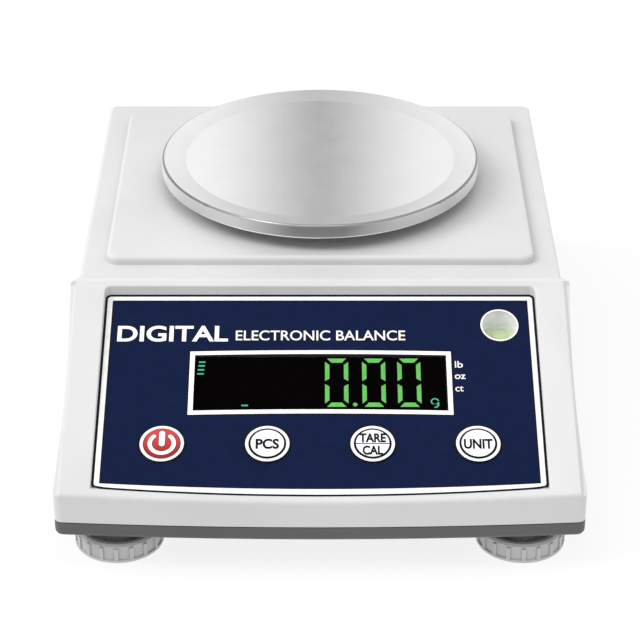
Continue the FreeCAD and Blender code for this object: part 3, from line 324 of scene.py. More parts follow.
MATERIALS = {
    "cover": moulded("cover_abs", (0.635, 0.635, 0.64, 1)),
    "tray": moulded("tray_abs", (0.092, 0.092, 0.094, 1), 0.5, depth=0.012, wear=0.08),
    "overlay": printed("overlay_film", (0.86, 0.86, 0.86, 1), 0.35, specular=0.4),
    "window": printed("window_filter", (0.0009, 0.0004, 0.0004, 1), 0.35, specular=0.008),
    "key_cap": moulded("key_abs", (0.90, 0.90, 0.90, 1), 0.3, depth=0.003, wear=0.02),
    "pan_steel": satin_pan("pan_steel", "weighing_pan"),
    "support": moulded("support_nylon", (0.09, 0.09, 0.095, 1), 0.55, depth=0.014, wear=0.1),
    "wheel": moulded("wheel_abs", (0.49, 0.49, 0.50, 1), 0.5, depth=0.012, wear=0.06),
    "glide": moulded("glide_rubber", (0.045, 0.045, 0.048, 1), 0.75, grain=1400, depth=0.03,
                     specular=0.3, wear=0.2),
    "stud": metal("zinc_plate", (0.62, 0.63, 0.66, 1), 0.32),
    "cast_alloy": metal("milled_aluminium", (0.72, 0.73, 0.74, 1), 0.36, grain=(1, 12, 1)),
    "plated_sheet": metal("galvanised_sheet", (0.58, 0.60, 0.62, 1), 0.42, grain=(8, 1, 1),
                          scale=700),
    "insert_brass": metal("brass", (0.72, 0.52, 0.25, 1), 0.3),
    "board": printed("solder_mask", (0.015, 0.14, 0.06, 1), 0.32, specular=0.5),
    "black_part": moulded("black_resin", (0.022, 0.022, 0.024, 1), 0.5, grain=1800, depth=0.01,
                          specular=0.45, wear=0.2),
    "port_metal": metal("nickel_plate", (0.66, 0.64, 0.60, 1), 0.28),
    "lead": moulded("lead_jacket", (0.03, 0.03, 0.032, 1), 0.45, grain=900, depth=0.02,
                    wear=0.15),
    "gauge_seal": moulded("silicone_seal", (0.55, 0.50, 0.40, 1), 0.35, grain=700, depth=0.03),
    # the level's cup and fluid glow faintly: painted light passing through them
    "level_cup": glowing_through("level_cup_acrylic", (0.80, 0.80, 0.82, 1), 0.07),
    "level_fluid": glowing_through("level_fluid", (0.56, 0.67, 0.36, 1), 0.06),
    "level_glass": clear("level_acrylic", (0.97, 1.0, 0.95, 1), 0.16),
    "plate": metal("rating_foil", (0.70, 0.71, 0.72, 1), 0.45, grain=(1, 14, 1), scale=800),
}
NAVY = printed("navy_ink", (0.0055, 0.0115, 0.046, 1), 0.5, specular=0.03)
INK = printed("black_ink", (0.004, 0.004, 0.006, 1), 0.5, specular=0.1)
LETTER = printed("white_ink", (0.92, 0.92, 0.93, 1), 0.45, specular=0.2)
LEGEND = printed("legend_ink", (0.005, 0.006, 0.016, 1), 0.5, specular=0.05)
# the power key's red inks, with painted shade that darkens them towards the key's lower edge; the
# deeper one also draws shade round the symbol
RED = sloped("red_ink", "power_key", (0.30, 0.010, 0.011, 1), (0.60, 0.048, 0.042, 1))
RED_EDGE = sloped("deep_red_ink", "power_key", (0.15, 0.003, 0.005, 1), (0.30, 0.010, 0.010, 1))
LEVEL_MARK = printed("level_mark_ink", (0.34, 0.44, 0.19, 1), 0.4, specular=0.2)
GREEN_GLOW = lit("digit_glow", (0.135, 0.49, 0.105, 1), 0.95)
TEAL_GLOW = lit("mark_glow", (0.075, 0.47, 0.25, 1), 0.95)


def dress_nodes():
    """Gives every CAD node the finish of its material slot."""
    for node in frame["nodes"].values():
        slot = node.data.materials[0].name.split(".")[0]
        node.data.materials.clear()
        node.data.materials.append(MATERIALS[slot])


dress_nodes()


# ---------------------------------------------------------------- places

def mesh_points(node):
    return [v.co for v in frame["nodes"][node].data.vertices]


def highest(points, direction):
    return max(p.dot(direction) for p in points)


def joint_axis(name):
    joint = next(j for j in frame["joints"] if j["name"] == name)
    return Vector(joint["axis"]).normalized()


PANEL_LENGTH = 92.5 * MM
PANEL_OUT = -joint_axis("tare_key_press")
PANEL_RIGHT = Vector((1, 0, 0))
PANEL_UP = PANEL_OUT.cross(PANEL_RIGHT)
PANEL_FACE = highest(mesh_points("control_overlay"), PANEL_OUT)
PANEL_FOOT = highest(mesh_points("control_overlay"), PANEL_UP) - PANEL_LENGTH
WINDOW_FACE = highest(mesh_points("display_window"), PANEL_OUT) - PANEL_FACE


def panel_place(x=0.0, up=0.0, out=0.0):
    """From millimetres on the panel (right, up the slope, off the face) to the shared frame."""
    origin = PANEL_RIGHT * x * MM
    origin += PANEL_UP * (PANEL_FOOT + up * MM) + PANEL_OUT * (PANEL_FACE + out * MM)
    turn = Matrix((PANEL_RIGHT, PANEL_UP, PANEL_OUT)).transposed().to_4x4()
    return Matrix.Translation(origin) @ turn @ Matrix.Scale(MM, 4)


def key_place(node):
    """The same, from the middle of a key's top face."""
    points = mesh_points(node)
    x = sum(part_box(node)[i].x for i in (0, 1)) / 2
    ups = [p.dot(PANEL_UP) for p in points]
    up = (min(ups) + max(ups)) / 2 - PANEL_FOOT
    out = highest(points, PANEL_OUT) - PANEL_FACE
    return panel_place(x / MM, up / MM, out / MM)


def piece(name, mesh, place, material, body, smooth=False):
    """Puts a mesh in the scene, in the shared frame, riding on a body."""
    mesh.transform(place)
    mesh.name = name
    mesh.materials.clear()
    mesh.materials.append(material)
    for polygon in mesh.polygons:
        polygon.use_smooth = smooth
    made = bpy.data.objects.new(name, mesh)
    bpy.context.scene.collection.objects.link(made)
    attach(made, body)
    return made


# ---------------------------------------------------------------- outlines and meshes

REVOLVE_STEPS = 96
CAP_SHARE = 0.73  # a capital's share of the built-in font's size
LETTER_THICK = 0.03


def circle(radius, x=0.0, y=0.0, count=96):
    steps = (2 * math.pi * i / count for i in range(count))
    return [(x + radius * math.cos(a), y + radius * math.sin(a)) for a in steps]


def ellipse(radii, x=0.0, y=0.0, grow=0.0):
    """An ellipse with the given half-widths across and up, grown by so much."""
    across, up = (r + grow for r in radii)
    return [(x + px * across, y + py * up) for px, py in circle(1.0)]


def arc(radius, start, end, x=0.0, y=0.0, count=24):
    """Points from start to end, in degrees anticlockwise from +x."""
    turn = math.radians(end - start)
    steps = (math.radians(start) + turn * i / count for i in range(count + 1))
    return [(x + radius * math.cos(a), y + radius * math.sin(a)) for a in steps]


def rectangle(left, low, right, high):
    return [(left, low), (right, low), (right, high), (left, high)]


def mirrored(points, x=None, y=None):
    """The same outline reflected about x or about y, wound the same way round."""
    if x is not None:
        points = [(2 * x - px, py) for px, py in points]
    if y is not None:
        points = [(px, 2 * y - py) for px, py in points]
    return points[::-1]


def ribbon(points, width):
    """Outline of a line of points drawn with a round pen."""
    half = width / 2
    left, right = [], []
    for index, (x, y) in enumerate(points):
        ahead = points[min(index + 1, len(points) - 1)]
        back = points[max(index - 1, 0)]
        along = Vector((ahead[0] - back[0], ahead[1] - back[1])).normalized() * half
        left.append((x - along.y, y + along.x))
        right.append((x + along.y, y - along.x))
    caps = []
    for (x, y), (nx, ny) in ((points[-1], points[-2]), (points[0], points[1])):
        angle = math.degrees(math.atan2(y - ny, x - nx))
        caps.append(arc(half, angle - 90, angle + 90, x, y, 8)[1:-1])
    return right + caps[0] + left[::-1] + caps[1]


def flat_point(loops, index):
    """The point with that number, counted through all the loops."""
    for loop in loops:
        if index < len(loop):
            return loop[index]
        index -= len(loop)
    raise IndexError(index)


def meshed(bm, name):
    """Turns a bmesh into a mesh and frees it."""
    mesh = bpy.data.meshes.new(name)
    bm.to_mesh(mesh)
    bm.free()
    return mesh


def plates(groups, low, high):
    """Flat plates between two heights. Each group is an outline and then its holes."""
    bm = bmesh.new()
    for loops in groups:
        rings = [[bm.verts.new((x, y, z)) for loop in loops for x, y in loop] for z in (low, high)]
        flat = [[Vector((x, y, 0)) for x, y in loop] for loop in loops]
        for triangle in tessellate_polygon(flat):
            a, b, c = (flat_point(loops, i) for i in triangle)
            turns_left = (b[0] - a[0]) * (c[1] - a[1]) - (b[1] - a[1]) * (c[0] - a[0]) > 0
            order = triangle if turns_left else triangle[::-1]
            bm.faces.new([rings[1][i] for i in order])
            bm.faces.new([rings[0][i] for i in reversed(order)])
        start = 0
        for loop in loops:
            count = len(loop)
            for i in range(start, start + count):
                j = start + (i - start + 1) % count
                bm.faces.new((rings[0][i], rings[0][j], rings[1][j], rings[1][i]))
            start += count
    bmesh.ops.recalc_face_normals(bm, faces=bm.faces)
    return meshed(bm, "plates")


def revolved(loop):
    """A ring turned about Z from a closed loop of (radius, height) points, which goes outward
    along its top and back along its bottom."""
    bm = bmesh.new()
    turns = [2 * math.pi * i / REVOLVE_STEPS for i in range(REVOLVE_STEPS)]
    rings = [[bm.verts.new((r * math.cos(a), r * math.sin(a), z)) for r, z in loop]
             for a in turns]
    for ring, after in zip(rings, rings[1:] + rings[:1]):
        for i in range(len(loop)):
            j = (i + 1) % len(loop)
            bm.faces.new((ring[i], ring[j], after[j], after[i]))
    return meshed(bm, "revolved")


def lettering(text, cap_height, width, weight, thickness=LETTER_THICK):
    """Text as a mesh, centred on x, standing on y = 0, with capitals of that height."""
    curve = bpy.data.curves.new("text", "FONT")
    curve.body = text
    curve.align_x = "CENTER"
    curve.extrude = thickness / 2
    curve.offset = weight
    curve.resolution_u = 6
    curve.size = cap_height / CAP_SHARE
    holder = bpy.data.objects.new("text", curve)
    mesh = bpy.data.meshes.new_from_object(holder)
    bpy.data.objects.remove(holder)
    bpy.data.curves.remove(curve)
    xs = [v.co.x for v in mesh.vertices]
    mesh.transform(Matrix.Translation((-(min(xs) + max(xs)) / 2, 0, thickness / 2)))
    mesh.transform(Matrix.Diagonal((width / (max(xs) - min(xs)), 1, 1, 1)))
    return mesh


# ---------------------------------------------------------------- printed panel
# From here on, sizes are in millimetres.

FILM = 0.06
PRINT_LIFT = 0.01
FIELD_HALF = 80.5
FIELD_LOW = 2.1
FIELD_HIGH = 89.9
FIELD_BOW = 2.6
FRAME_OUTER = (-49.45, 33.65, 49.85, 64.2)
FRAME_INNER = (-47.6, 35.6, 48.0, 62.4)
FRAME_BOW = 0.65
MASK = (-48.6, 34.7, 48.8, 63.4)
WINDOW = (-47.65, 35.9, 47.65, 61.8)
WELL = (-47.5, 36.05, 47.5, 61.65)
LINE = 0.55
SIGHT_LINE = 0.7
SIGHT_OUTER = (7.3, 7.95)
SIGHT_INNER = (6.65, 7.3)
KEY_HOLE_RADIUS = 8.6
KEYS = ("power_key", "count_key", "tare_key", "unit_key")
OVERLAY_HALF = 83.05
OVERLAY_BOW = 3.6
OVERLAY_CORNER = 2.0
LOW_CORNER = 0.3  # the lower corners' share of the upper ones' size
LOW_CORNER_POWER = 30
# the plate of painted shade over the gap round the overlay
SEAM_LIFT = 0.004
SEAM_THICK = 0.03
SEAM_OUTER = 0.42
SEAM_INNER = -0.6
TITLE_SHADE = 0.28
SHADE_LIFT = FILM + 0.02
WORD_LIFT = FILM + 0.05
# piece, text, height of a capital, width, middle, foot, weight of the stroke
TITLES = (
    ("title_kind", "DIGITAL", 7.8, 42.5, -56.5, 69.4, 0.24),
    ("title_name", "ELECTRONIC BALANCE", 5.05, 65.0, 0.2, 69.8, 0.06),
    ("unit_pounds", "lb", 3.3, 3.0, 52.7, 56.3, 0.04),
    ("unit_ounces", "oz", 3.3, 4.1, 53.0, 50.8, 0.04),
    ("unit_carats", "ct", 3.3, 3.1, 52.5, 44.8, 0.04),
)


def bowed(half, height, bow, steps):
    """A line from left to right that dips by the bow in its middle."""
    xs = [-half + 2 * half * i / steps for i in range(steps + 1)]
    return [(x, height - bow * (1 - (x / half) ** 2)) for x in xs]


def bowed_field(inset=0.0):
    """The printed field: straight sides and top, and a lower edge that bows to the front."""
    half = FIELD_HALF - inset
    high = FIELD_HIGH - inset
    return bowed(half, FIELD_LOW + inset, FIELD_BOW, 32) + [(half, high), (-half, high)]


def bowed_window(left, low, right, high, grow=0.0):
    """A window whose upper and lower edges arch a little up the slope."""
    left, low, right, high = left - grow, low - grow, right + grow, high + grow
    steps = 24
    xs = [left + (right - left) * i / steps for i in range(steps + 1)]
    arch = [FRAME_BOW * (1 - ((2 * x - left - right) / (right - left)) ** 2) for x in xs]
    lower = [(x, low + rise) for x, rise in zip(xs, arch)]
    upper = [(x, high + rise) for x, rise in zip(xs, arch)]
    return lower + upper[::-1]


def overlay_edge(grow):
    """Outline of the overlay, grown by so much: rounded at the top, bowed at the bottom."""
    half = OVERLAY_HALF + grow
    corner = OVERLAY_CORNER + grow
    low_corner = LOW_CORNER * corner
    high = PANEL_LENGTH / MM + grow
    steps = 48
    lower = []
    for i in range(1, steps):
        share = 2 * i / steps - 1
        x = (half - low_corner) * share
        rise = low_corner * abs(share) ** LOW_CORNER_POWER
        lower.append((x, rise - grow - OVERLAY_BOW * (1 - (x / half) ** 2)))
    right = [(half - low_corner, low_corner - grow), (half, corner - grow)]
    left = [(-x, y) for x, y in reversed(right)]
    top = arc(corner, 0, 90, half - corner, high - corner, 12)
    top += arc(corner, 90, 180, corner - half, high - corner, 12)
    return lower + right + top + left


def on_panel(point):
    """(x, up) of a point, in millimetres on the panel."""
    return point.x / MM, (point.dot(PANEL_UP) - PANEL_FOOT) / MM


def sight_centre():
    """(x, up) of the sight hole: the panel's point straight above the level's middle."""
    low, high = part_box("level_lens")
    middle = (low + high) / 2
    from_foot = (middle.y - panel_place().translation.y) / PANEL_UP.y
    return middle.x / MM, from_foot / MM


KEY_CENTRES = [on_panel(key_place(key).translation) for key in KEYS]
SIGHT = sight_centre()


def make_panel_print():
    """The navy field, the dark lines round it and its holes, and the window's white frame, with a
    mask under the frame and a thin black strip round the window at the depth of the display's
    face."""
    outer = bowed_window(*FRAME_OUTER)
    lined_outer = bowed_window(*FRAME_OUTER, LINE)
    sight = ellipse(SIGHT_OUTER, *SIGHT)
    lined_sight = ellipse(SIGHT_OUTER, *SIGHT, SIGHT_LINE)
    lined_holes = [circle(KEY_HOLE_RADIUS + LINE, *c) for c in KEY_CENTRES]
    holes = [circle(KEY_HOLE_RADIUS, *c) for c in KEY_CENTRES]
    field = [bowed_field(LINE), lined_outer, lined_sight] + lined_holes
    lines = [[bowed_field(), bowed_field(LINE)], [lined_outer, outer], [lined_sight, sight]]
    lines += [list(pair) for pair in zip(lined_holes, holes)]
    mask = [rectangle(*MASK), rectangle(*WINDOW)]
    well = [rectangle(*WINDOW), rectangle(*WELL)]
    ring = [outer, bowed_window(*FRAME_INNER)]
    prints = (
        ("panel_print", [field], 0, FILM, NAVY),
        ("panel_outline", lines, 0, FILM, INK),
        ("window_mask", [mask], 0, FILM / 2, INK),
        ("window_well", [well], WINDOW_FACE / MM, FILM / 2, INK),
        ("window_frame", [ring], 0, FILM, LETTER),
    )
    place = panel_place(out=PRINT_LIFT)
    for name, groups, low, high, material in prints:
        piece(name, plates(groups, low, high), place, material, HOUSING)


def make_overlay_gap_shade():
    """Painted shade: a dark plate over the gap between the overlay and the cover, where the gap is
    in shade.
    """
    seam = [[overlay_edge(SEAM_OUTER), overlay_edge(SEAM_INNER)]]
    place = panel_place(out=SEAM_LIFT)
    piece("overlay_gap_shade", plates(seam, 0, SEAM_THICK), place, INK, HOUSING)


def make_titles():
    """White words, each on a slightly wider dark print."""
    for name, text, height, width, x, up, weight in TITLES:
        shade = lettering(text, height, width + 2 * TITLE_SHADE, weight + TITLE_SHADE)
        place = panel_place(x, up, SHADE_LIFT)
        piece(name + "_shade", shade, place, INK, HOUSING)
        word = lettering(text, height, width, weight)
        piece(name, word, panel_place(x, up, WORD_LIFT), LETTER, HOUSING)


# ---------------------------------------------------------------- display

DIGIT_WIDTH = 8.8
DIGIT_HEIGHT = 23.3
DIGIT_LEFT = (1.9, 15.95, 29.3)
DIGIT_LOW = 37.6
BAR_WIDE = 1.65
BAR_TALL = 2.0
BAR_END = 0.8  # how far a bar's ends are from the digit's sides
POST_FOOT = (0.75, 1.9)  # outer and inner corners of a post, above the digit's middle
POST_TOP = (1.6, 3.2)  # and below its top
GLOW_THICK = 0.06
GLOW_LIFT = 0.01
POINT_RADIUS = 0.86
POINT_AT = (13.2, 38.7)
STEP_SIDES = (-46.0, -43.5)
STEP_UPS = (59.15, 57.35, 55.4, 53.45)
STEP_SHIFT = -0.17  # each lower step stands further left
ZERO_MARK_SIDES = (-29.5, -27.0)
ZERO_MARK_UP = 38.25
MARK_HALF = 0.32
GRAM_AT = (43.1, 40.1)
GRAM_BOWL = 1.35
GRAM_HOOK = 1.215
GRAM_DROP = (0.1, -1.5)
GRAM_PEN = 0.5


def zero_segments(left, low):
    """The six lit bars of a nought, each with mitred ends."""
    middle_x = left + DIGIT_WIDTH / 2
    middle_y = low + DIGIT_HEIGHT / 2
    top = low + DIGIT_HEIGHT
    right = left + DIGIT_WIDTH
    inner = BAR_WIDE + BAR_END
    bar = [(left + BAR_END, top), (left + inner, top - BAR_TALL),
           (right - inner, top - BAR_TALL), (right - BAR_END, top)]
    post = [(left, middle_y + POST_FOOT[0]), (left + BAR_WIDE, middle_y + POST_FOOT[1]),
            (left + BAR_WIDE, top - POST_TOP[1]), (left, top - POST_TOP[0])]
    posts = [post, mirrored(post, x=middle_x)]
    return [bar, mirrored(bar, y=middle_y)] + posts + [mirrored(p, y=middle_y) for p in posts]


def mark(sides, up, shift=0.0):
    """A short lit dash."""
    left, right = sides
    return [rectangle(left + shift, up - MARK_HALF, right + shift, up + MARK_HALF)]


def gram_letter():
    """The letter g in one stroke: a round bowl, its stem and a short hook below."""
    x, y = GRAM_AT
    ring = arc(GRAM_BOWL, 20, 350, x, y, 40)
    hook = arc(GRAM_HOOK, -10, -100, x + GRAM_DROP[0], y + GRAM_DROP[1], 10)
    return [ribbon(ring + hook, GRAM_PEN)]


def make_display():
    """Lit digits and marks on the window's face."""
    digits = [(f"digit_{number}", [[points] for points in zero_segments(left, DIGIT_LOW)])
              for number, left in enumerate(DIGIT_LEFT, 1)]
    point = [[circle(POINT_RADIUS, *POINT_AT, 32)]]
    steps = [mark(STEP_SIDES, up, STEP_SHIFT * i) for i, up in enumerate(STEP_UPS)]
    greens = digits + [("decimal_point", point)]
    teals = [("load_steps", steps), ("zero_mark", [mark(ZERO_MARK_SIDES, ZERO_MARK_UP)]),
             ("unit_gram", [gram_letter()])]
    place = panel_place(out=WINDOW_FACE / MM + GLOW_LIFT)
    for glows, material in ((greens, GREEN_GLOW), (teals, TEAL_GLOW)):
        for name, groups in glows:
            piece(name, plates(groups, 0, GLOW_THICK), place, material, HOUSING)


# ---------------------------------------------------------------- key legends

INK_THICK = 0.05
INK_LIFT = 0.01
WORDS_LIFT = 0.02
WORDS_WEIGHT = 0.19
# profile of the painted shade ring on each key's bevelled edge, as radius and height
RIM_PROFILE = ((8.18, 0.02), (8.27, 0.02), (8.57, -0.28), (8.57, -0.5))
RING_OUTER = 7.0
RING_INNER = 6.2
RING_SHIFT = 0.2  # the ring's hole, and the red field, stand a little up the slope
FIELD_RADIUS = 6.7
FIELD_SHIFT = 0.12
SYMBOL_OUTER = 5.25
SYMBOL_INNER = 3.65
SYMBOL_OPEN = 42
SYMBOL_BAR = 1.1
SYMBOL_BAR_TOP = 4.7
SYMBOL_BAR_FOOT = -0.2
SYMBOL_SHADE = 0.26
DIVIDER = (-6.4, -0.18, 6.4, 0.18)
# key, piece, text, height of a capital, width, foot
WORDS = (
    ("count_key", "words", "PCS", 4.5, 8.6, -2.25),
    ("unit_key", "words", "UNIT", 4.4, 10.6, -2.2),
    ("tare_key", "words", "TARE", 4.0, 9.8, 0.75),
    ("tare_key", "second_words", "CAL", 4.0, 7.5, -4.95),
)


def ink(name, groups, key, material, lift=INK_LIFT):
    place = key_place(key) @ Matrix.Translation((0, 0, lift))
    piece(f"{key}_{name}", plates(groups, 0, INK_THICK), place, material, key)


def painted_key_rim_shade(key):
    """Painted shade: a dark ring down the bevelled edge of a key cap, where the gap round the key
    is in shade.
    """
    inner = [(r, z - INK_THICK / 2) for r, z in reversed(RIM_PROFILE)]
    rim = revolved(list(RIM_PROFILE) + inner)
    piece(f"{key}_rim", rim, key_place(key), NAVY, key, smooth=True)


def broken_ring(grow=0.0):
    """The open ring of the power symbol, with round ends."""
    middle = (SYMBOL_OUTER + SYMBOL_INNER) / 2
    half = (SYMBOL_OUTER - SYMBOL_INNER) / 2 + grow
    start = 90 + SYMBOL_OPEN
    end = 450 - SYMBOL_OPEN
    first, last = arc(middle, start, end, count=1)
    outer = arc(middle + half, start, end, count=72)
    far_cap = arc(half, end, end + 180, *last)[1:-1]
    inner = arc(middle - half, end, start, count=72)
    near_cap = arc(half, start + 180, start + 360, *first)[1:-1]
    return outer + far_cap + inner + near_cap


def symbol_bar(grow=0.0):
    half = SYMBOL_BAR + grow
    return arc(half, 0, 180, 0, SYMBOL_BAR_TOP) + arc(half, 180, 360, 0, SYMBOL_BAR_FOOT)


def make_legends():
    """The power symbol on its red field, with painted shade on the red, each key's dark rim of
    painted shade, and the other keys' rings and words."""
    symbol = [[broken_ring()], [symbol_bar()]]
    symbol_shade = [[broken_ring(SYMBOL_SHADE)], [symbol_bar(SYMBOL_SHADE)]]
    # the deep red edge, wider below the shifted field, is partly print and partly painted shade;
    # the deep red round the symbol is painted shade
    # name, outlines, ink, height above the key's face
    power_inks = (
        ("edge", [[circle(RING_OUTER)]], RED_EDGE, INK_LIFT),
        ("field", [[circle(FIELD_RADIUS, 0, FIELD_SHIFT)]], RED, 0.03),
        ("symbol_shade", symbol_shade, RED_EDGE, 0.04),
        ("symbol", symbol, LETTER, 0.06),
    )
    for name, groups, material, lift in power_inks:
        ink(name, groups, "power_key", material, lift)
    for key in KEYS:
        painted_key_rim_shade(key)
    for key in KEYS[1:]:
        ink("ring", [[circle(RING_OUTER), circle(RING_INNER, 0, RING_SHIFT)]], key, LEGEND)
    for key, name, text, cap, width, foot in WORDS:
        word = lettering(text, cap, width, WORDS_WEIGHT, INK_THICK)
        place = key_place(key) @ Matrix.Translation((0, foot, WORDS_LIFT))
        piece(f"{key}_{name}", word, place, LEGEND, key)
    ink("divider", [[rectangle(*DIVIDER)]], "tare_key", LEGEND)


make_panel_print()
make_overlay_gap_shade()
make_titles()
make_display()
make_legends()


# ---------------------------------------------------------------- bubble level

LEVEL_CIRCLE = (3.5, 3.3)
LEVEL_CIRCLE_THICK = 0.04
SIGHT_RING_THICK = 0.12


def make_level():
    """The circle on the level's lens and the white ring round the sight hole."""
    low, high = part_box("level_lens")
    centre = (low + high) / 2
    top = Matrix.Translation((centre.x, centre.y, high.z)) @ Matrix.Scale(MM, 4)
    circles = [circle(radius, count=64) for radius in LEVEL_CIRCLE]
    drawn = plates([circles], 0, LEVEL_CIRCLE_THICK)
    piece("level_circle", drawn, top, LEVEL_MARK, HOUSING)
    rings = [ellipse(SIGHT_OUTER, *SIGHT), ellipse(SIGHT_INNER, *SIGHT)]
    rim = plates([rings], 0, SIGHT_RING_THICK)
    piece("sight_ring", rim, panel_place(), LETTER, HOUSING)


make_level()


# ---------------------------------------------------------------- sockets and plate

SHELL_TOP = (6.3, 2.0)
SHELL_LOW = (5.595, -2.0)
SHELL_CORNER = 2.2
SHELL_WALL = 0.45
PIN_PITCH = 2.76
PIN_RADIUS = 0.5
PIN_ROWS = ((1.42, (-2, -1, 0, 1, 2)), (-1.42, (-1.5, -0.5, 0.5, 1.5)))
PIN_TIP = -0.45
FLANGE_HALF = 6.2
FLANGE_BACK = -3.4
FLANGE_FACE = -2.5
INSULATOR_FACE = -1.7
CASE_HALF = 9.5
CASE_TALL = 12
JACK_REACH = 12.5
JACK_HOLE = 1.7
PLATE_MARGIN = 1.5
PLATE_LINE = 0.4
RULE_HALF = 0.12
RULE_SHARES = (-0.4, 0.0, 0.4)
RULE_THICK = 0.03


def shell_outline(grow=0.0):
    """D-shaped outline, wider at the top, with its sides leaning by ten degrees."""
    corners = ((SHELL_TOP, 1, -10, 90), (SHELL_TOP, -1, 90, 190),
               (SHELL_LOW, -1, 190, 270), (SHELL_LOW, 1, -90, -10))
    points = []
    for (x, y), side, start, end in corners:
        points += arc(SHELL_CORNER + grow, start, end, side * x, y, 10)
    return points


def make_serial_port():
    """Nine-pin socket: nickel flange and shell, black insulator and case, brass pins."""
    low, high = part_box("serial_port")
    jack_low, jack_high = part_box("port_jack_posts")
    middle = (jack_low + jack_high) / 2
    turn = Matrix(((-1, 0, 0), (0, 0, 1), (0, 1, 0))).to_4x4()
    place = Matrix.Translation((middle.x, high.y, middle.z)) @ turn @ Matrix.Scale(MM, 4)
    bottom = (low.z - middle.z) / MM
    half = (high.x - low.x) / MM / 2
    case_back = (low.y - high.y) / MM
    jacks = [circle(JACK_HOLE, side * JACK_REACH, count=48) for side in (-1, 1)]
    inside = shell_outline(-SHELL_WALL)
    flange = [rectangle(-half, -FLANGE_HALF, half, FLANGE_HALF), inside] + jacks
    case = [rectangle(-CASE_HALF, bottom, CASE_HALF, bottom + CASE_TALL)]
    pins = [[circle(PIN_RADIUS, PIN_PITCH * step, row, 24)]
            for row, steps in PIN_ROWS for step in steps]
    parts = (
        ("flange", [flange], FLANGE_BACK, FLANGE_FACE, "port_metal"),
        ("shell", [[shell_outline(), inside]], FLANGE_FACE, 0, "port_metal"),
        ("insulator", [[inside]], FLANGE_BACK, INSULATOR_FACE, "black_part"),
        ("case", [case], case_back, FLANGE_BACK, "black_part"),
        ("pins", pins, INSULATOR_FACE, PIN_TIP, "insert_brass"),
    )
    for name, groups, back, face, slot in parts:
        made = piece(f"serial_port_{name}", plates(groups, back, face), place, MATERIALS[slot],
                     HOUSING)
        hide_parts("serial_port")


def make_plate_lines():
    """A ruled frame and lines on the blank rating plate."""
    low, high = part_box("rating_plate")
    middle = (low + high) / 2
    half_x, half_y = (high.x - low.x) / MM / 2, (high.y - low.y) / MM / 2
    turn = Matrix(((-1, 0, 0), (0, 1, 0), (0, 0, -1))).to_4x4()
    place = Matrix.Translation((middle.x, middle.y, low.z)) @ turn @ Matrix.Scale(MM, 4)
    outer_x, outer_y = half_x - PLATE_MARGIN, half_y - PLATE_MARGIN
    inner_x, inner_y = outer_x - PLATE_LINE, outer_y - PLATE_LINE
    border = [rectangle(-outer_x, -outer_y, outer_x, outer_y),
              rectangle(-inner_x, -inner_y, inner_x, inner_y)]
    rows = [half_y * share for share in RULE_SHARES]
    rules = [[rectangle(-inner_x, y - RULE_HALF, inner_x, y + RULE_HALF)] for y in rows]
    lines = plates([border] + rules, 0, RULE_THICK)
    piece("rating_plate_lines", lines, place, INK, HOUSING)


make_serial_port()
make_plate_lines()


# ---------------------------------------------------------------- stage, light and camera
# From here on, places are in metres, angles in degrees, and the lens in millimetres.

FLOOR_HALF = 4.0
FLOOR_GLOW = 0.835
FLOOR_LOW = (0.15, 0.15, 0.15, 1)
FLOOR_HIGH = (0.17, 0.17, 0.17, 1)
WORLD_CENTRE = 0.30  # brightness straight ahead
WORLD_SIDES = 1.13  # added towards the left and right, in full from the edge on
WORLD_EDGE = 0.45
WORLD_BLEND = 0.3  # how softly the rise ends there
WORLD_FAR = 0.78  # taken away again at the far left and right
WORLD_FAR_POWER = 3.0
WORLD_TOP = 0.62  # added overhead
WORLD_TOP_POWER = 4.0
WORLD_FRONT = -0.62  # added in front of the object, behind the camera
WORLD_LEAST = 0.02
WORLD_HORIZON = 0.12  # half the height of a white band round the room
SUN_FROM = (-1.0, -0.1, 0.9)
SUN_POWER = 1.2
SUN_ANGLE = 30
LAMP_FROM = (0, -0.12, 0.42)
LAMP_AIM = (0, 0.0, 0.05)
LAMP_POWER = 0.28
LAMP_SIZE = 0.25
CAMERA_LENS = 130.15
CAMERA_SENSOR = 36
CAMERA_CLIP = 0.05
CAMERA_FROM = (0, -0.82497, 0.50193)
CAMERA_TILT = 60.337


def make_floor():
    """Paper that lights itself up to white, and is clear when seen from below."""
    half = FLOOR_HALF
    mesh = bpy.data.meshes.new("floor")
    corners = [(x, y, 0) for x, y in rectangle(-half, -half, half, half)]
    mesh.from_pydata(corners, [], [(0, 1, 2, 3)])
    floor = bpy.data.objects.new("floor", mesh)
    bpy.context.scene.collection.objects.link(floor)
    n = Nodes("floor_paper")
    base = n.ramp(n.noise(3, 3), FLOOR_LOW, FLOOR_HIGH)
    n.set(Specular_IOR_Level=0.0, Emission_Color=CLEAN, Emission_Strength=FLOOR_GLOW)
    n.finish(base, n.spread(n.noise(40, 2), 0.85, 0.95))
    clear_below = n.add("ShaderNodeBsdfTransparent")
    blend = n.add("ShaderNodeMixShader")
    n.link(n.add("ShaderNodeNewGeometry").outputs["Backfacing"], blend.inputs["Fac"])
    n.link(n.shader.outputs["BSDF"], blend.inputs[1])
    n.link(clear_below.outputs["BSDF"], blend.inputs[2])
    n.link(blend.outputs["Shader"], n.tree.nodes["Material Output"].inputs["Surface"])
    mesh.materials.append(n.material)


def add_light(name, kind, place, target, energy, **values):
    data = bpy.data.lights.new(name, kind)
    data.energy = energy
    for key, value in values.items():
        setattr(data, key, value)
    light = bpy.data.objects.new(name, data)
    light.location = place
    light.rotation_mode = "QUATERNION"
    light.rotation_quaternion = (Vector(place) - Vector(target)).to_track_quat("Z", "Y")
    light.visible_camera = False
    bpy.context.scene.collection.objects.link(light)


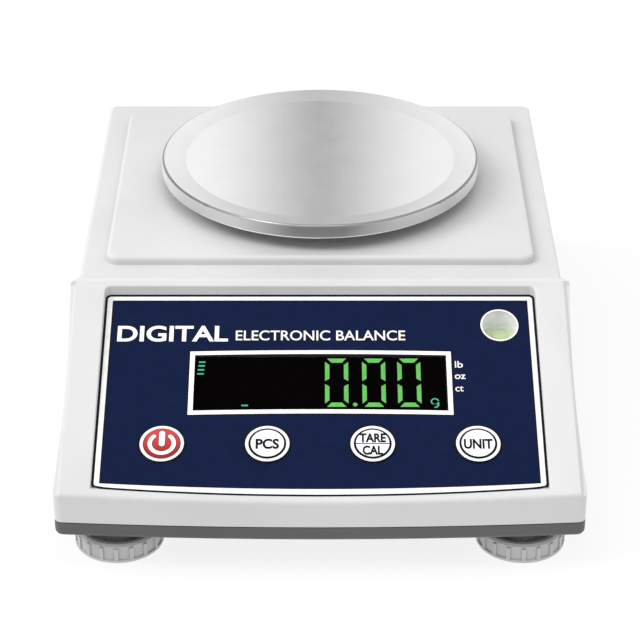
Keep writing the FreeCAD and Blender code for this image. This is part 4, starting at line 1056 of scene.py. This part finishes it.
def make_world():
    """A softly lit room: brightest to either side of the middle, falling off at the far left
    and right, light overhead, dimmer behind the camera, and white round the horizon."""
    world = bpy.data.worlds.new("studio")
    bpy.context.scene.world = world
    world.use_nodes = True
    tree = world.node_tree

    def maths(operation, *values):
        return computed(tree, "ShaderNodeMath", operation, values)["Value"]

    split = tree.nodes.new("ShaderNodeSeparateXYZ")
    direction = tree.nodes.new("ShaderNodeTexCoord").outputs["Generated"]
    tree.links.new(direction, split.inputs["Vector"])
    x, y, z = (split.outputs[axis] for axis in "XYZ")
    across = maths("ABSOLUTE", x)
    upright = maths("ABSOLUTE", z)
    overhead = maths("POWER", maths("MAXIMUM", z, 0.0), WORLD_TOP_POWER)
    near = maths("SMOOTH_MIN", maths("DIVIDE", across, WORLD_EDGE), 1.0, WORLD_BLEND)
    far = maths("MULTIPLY", maths("POWER", across, WORLD_FAR_POWER), -WORLD_FAR)
    sides = maths("ADD", maths("MULTIPLY", near, WORLD_SIDES), far)
    sides = maths("MULTIPLY", sides, maths("SUBTRACT", 1.0, overhead))
    top = maths("MULTIPLY", overhead, WORLD_TOP)
    forward = maths("MAXIMUM", maths("MULTIPLY", y, -1.0), 0.0)
    forward = maths("MULTIPLY", forward, maths("SUBTRACT", 1.0, upright))
    front = maths("MULTIPLY", forward, WORLD_FRONT)
    total = maths("ADD", maths("ADD", sides, top), maths("ADD", front, WORLD_CENTRE))
    rise = maths("SUBTRACT", WORLD_HORIZON, upright)
    horizon = maths("MINIMUM", maths("MULTIPLY", rise, 2 / WORLD_HORIZON), 1.0)
    total = maths("MAXIMUM", maths("MAXIMUM", total, WORLD_LEAST), horizon)
    background = tree.nodes["Background"]
    background.inputs["Color"].default_value = CLEAN
    tree.links.new(total, background.inputs["Strength"])


def make_lights():
    make_world()
    add_light("overhead", "SUN", SUN_FROM, (0, 0, 0), SUN_POWER, angle=math.radians(SUN_ANGLE))
    add_light("panel_lamp", "AREA", LAMP_FROM, LAMP_AIM, LAMP_POWER, size=LAMP_SIZE)


def make_camera():
    data = bpy.data.cameras.new("camera")
    data.lens = CAMERA_LENS
    data.sensor_width = CAMERA_SENSOR
    data.clip_start = CAMERA_CLIP
    camera = bpy.data.objects.new("camera", data)
    camera.location = CAMERA_FROM
    camera.rotation_euler = (math.radians(CAMERA_TILT), 0, 0)
    bpy.context.scene.collection.objects.link(camera)
    bpy.context.scene.camera = camera


make_floor()
make_lights()
make_camera()
bpy.context.scene.view_settings.view_transform = "Standard"
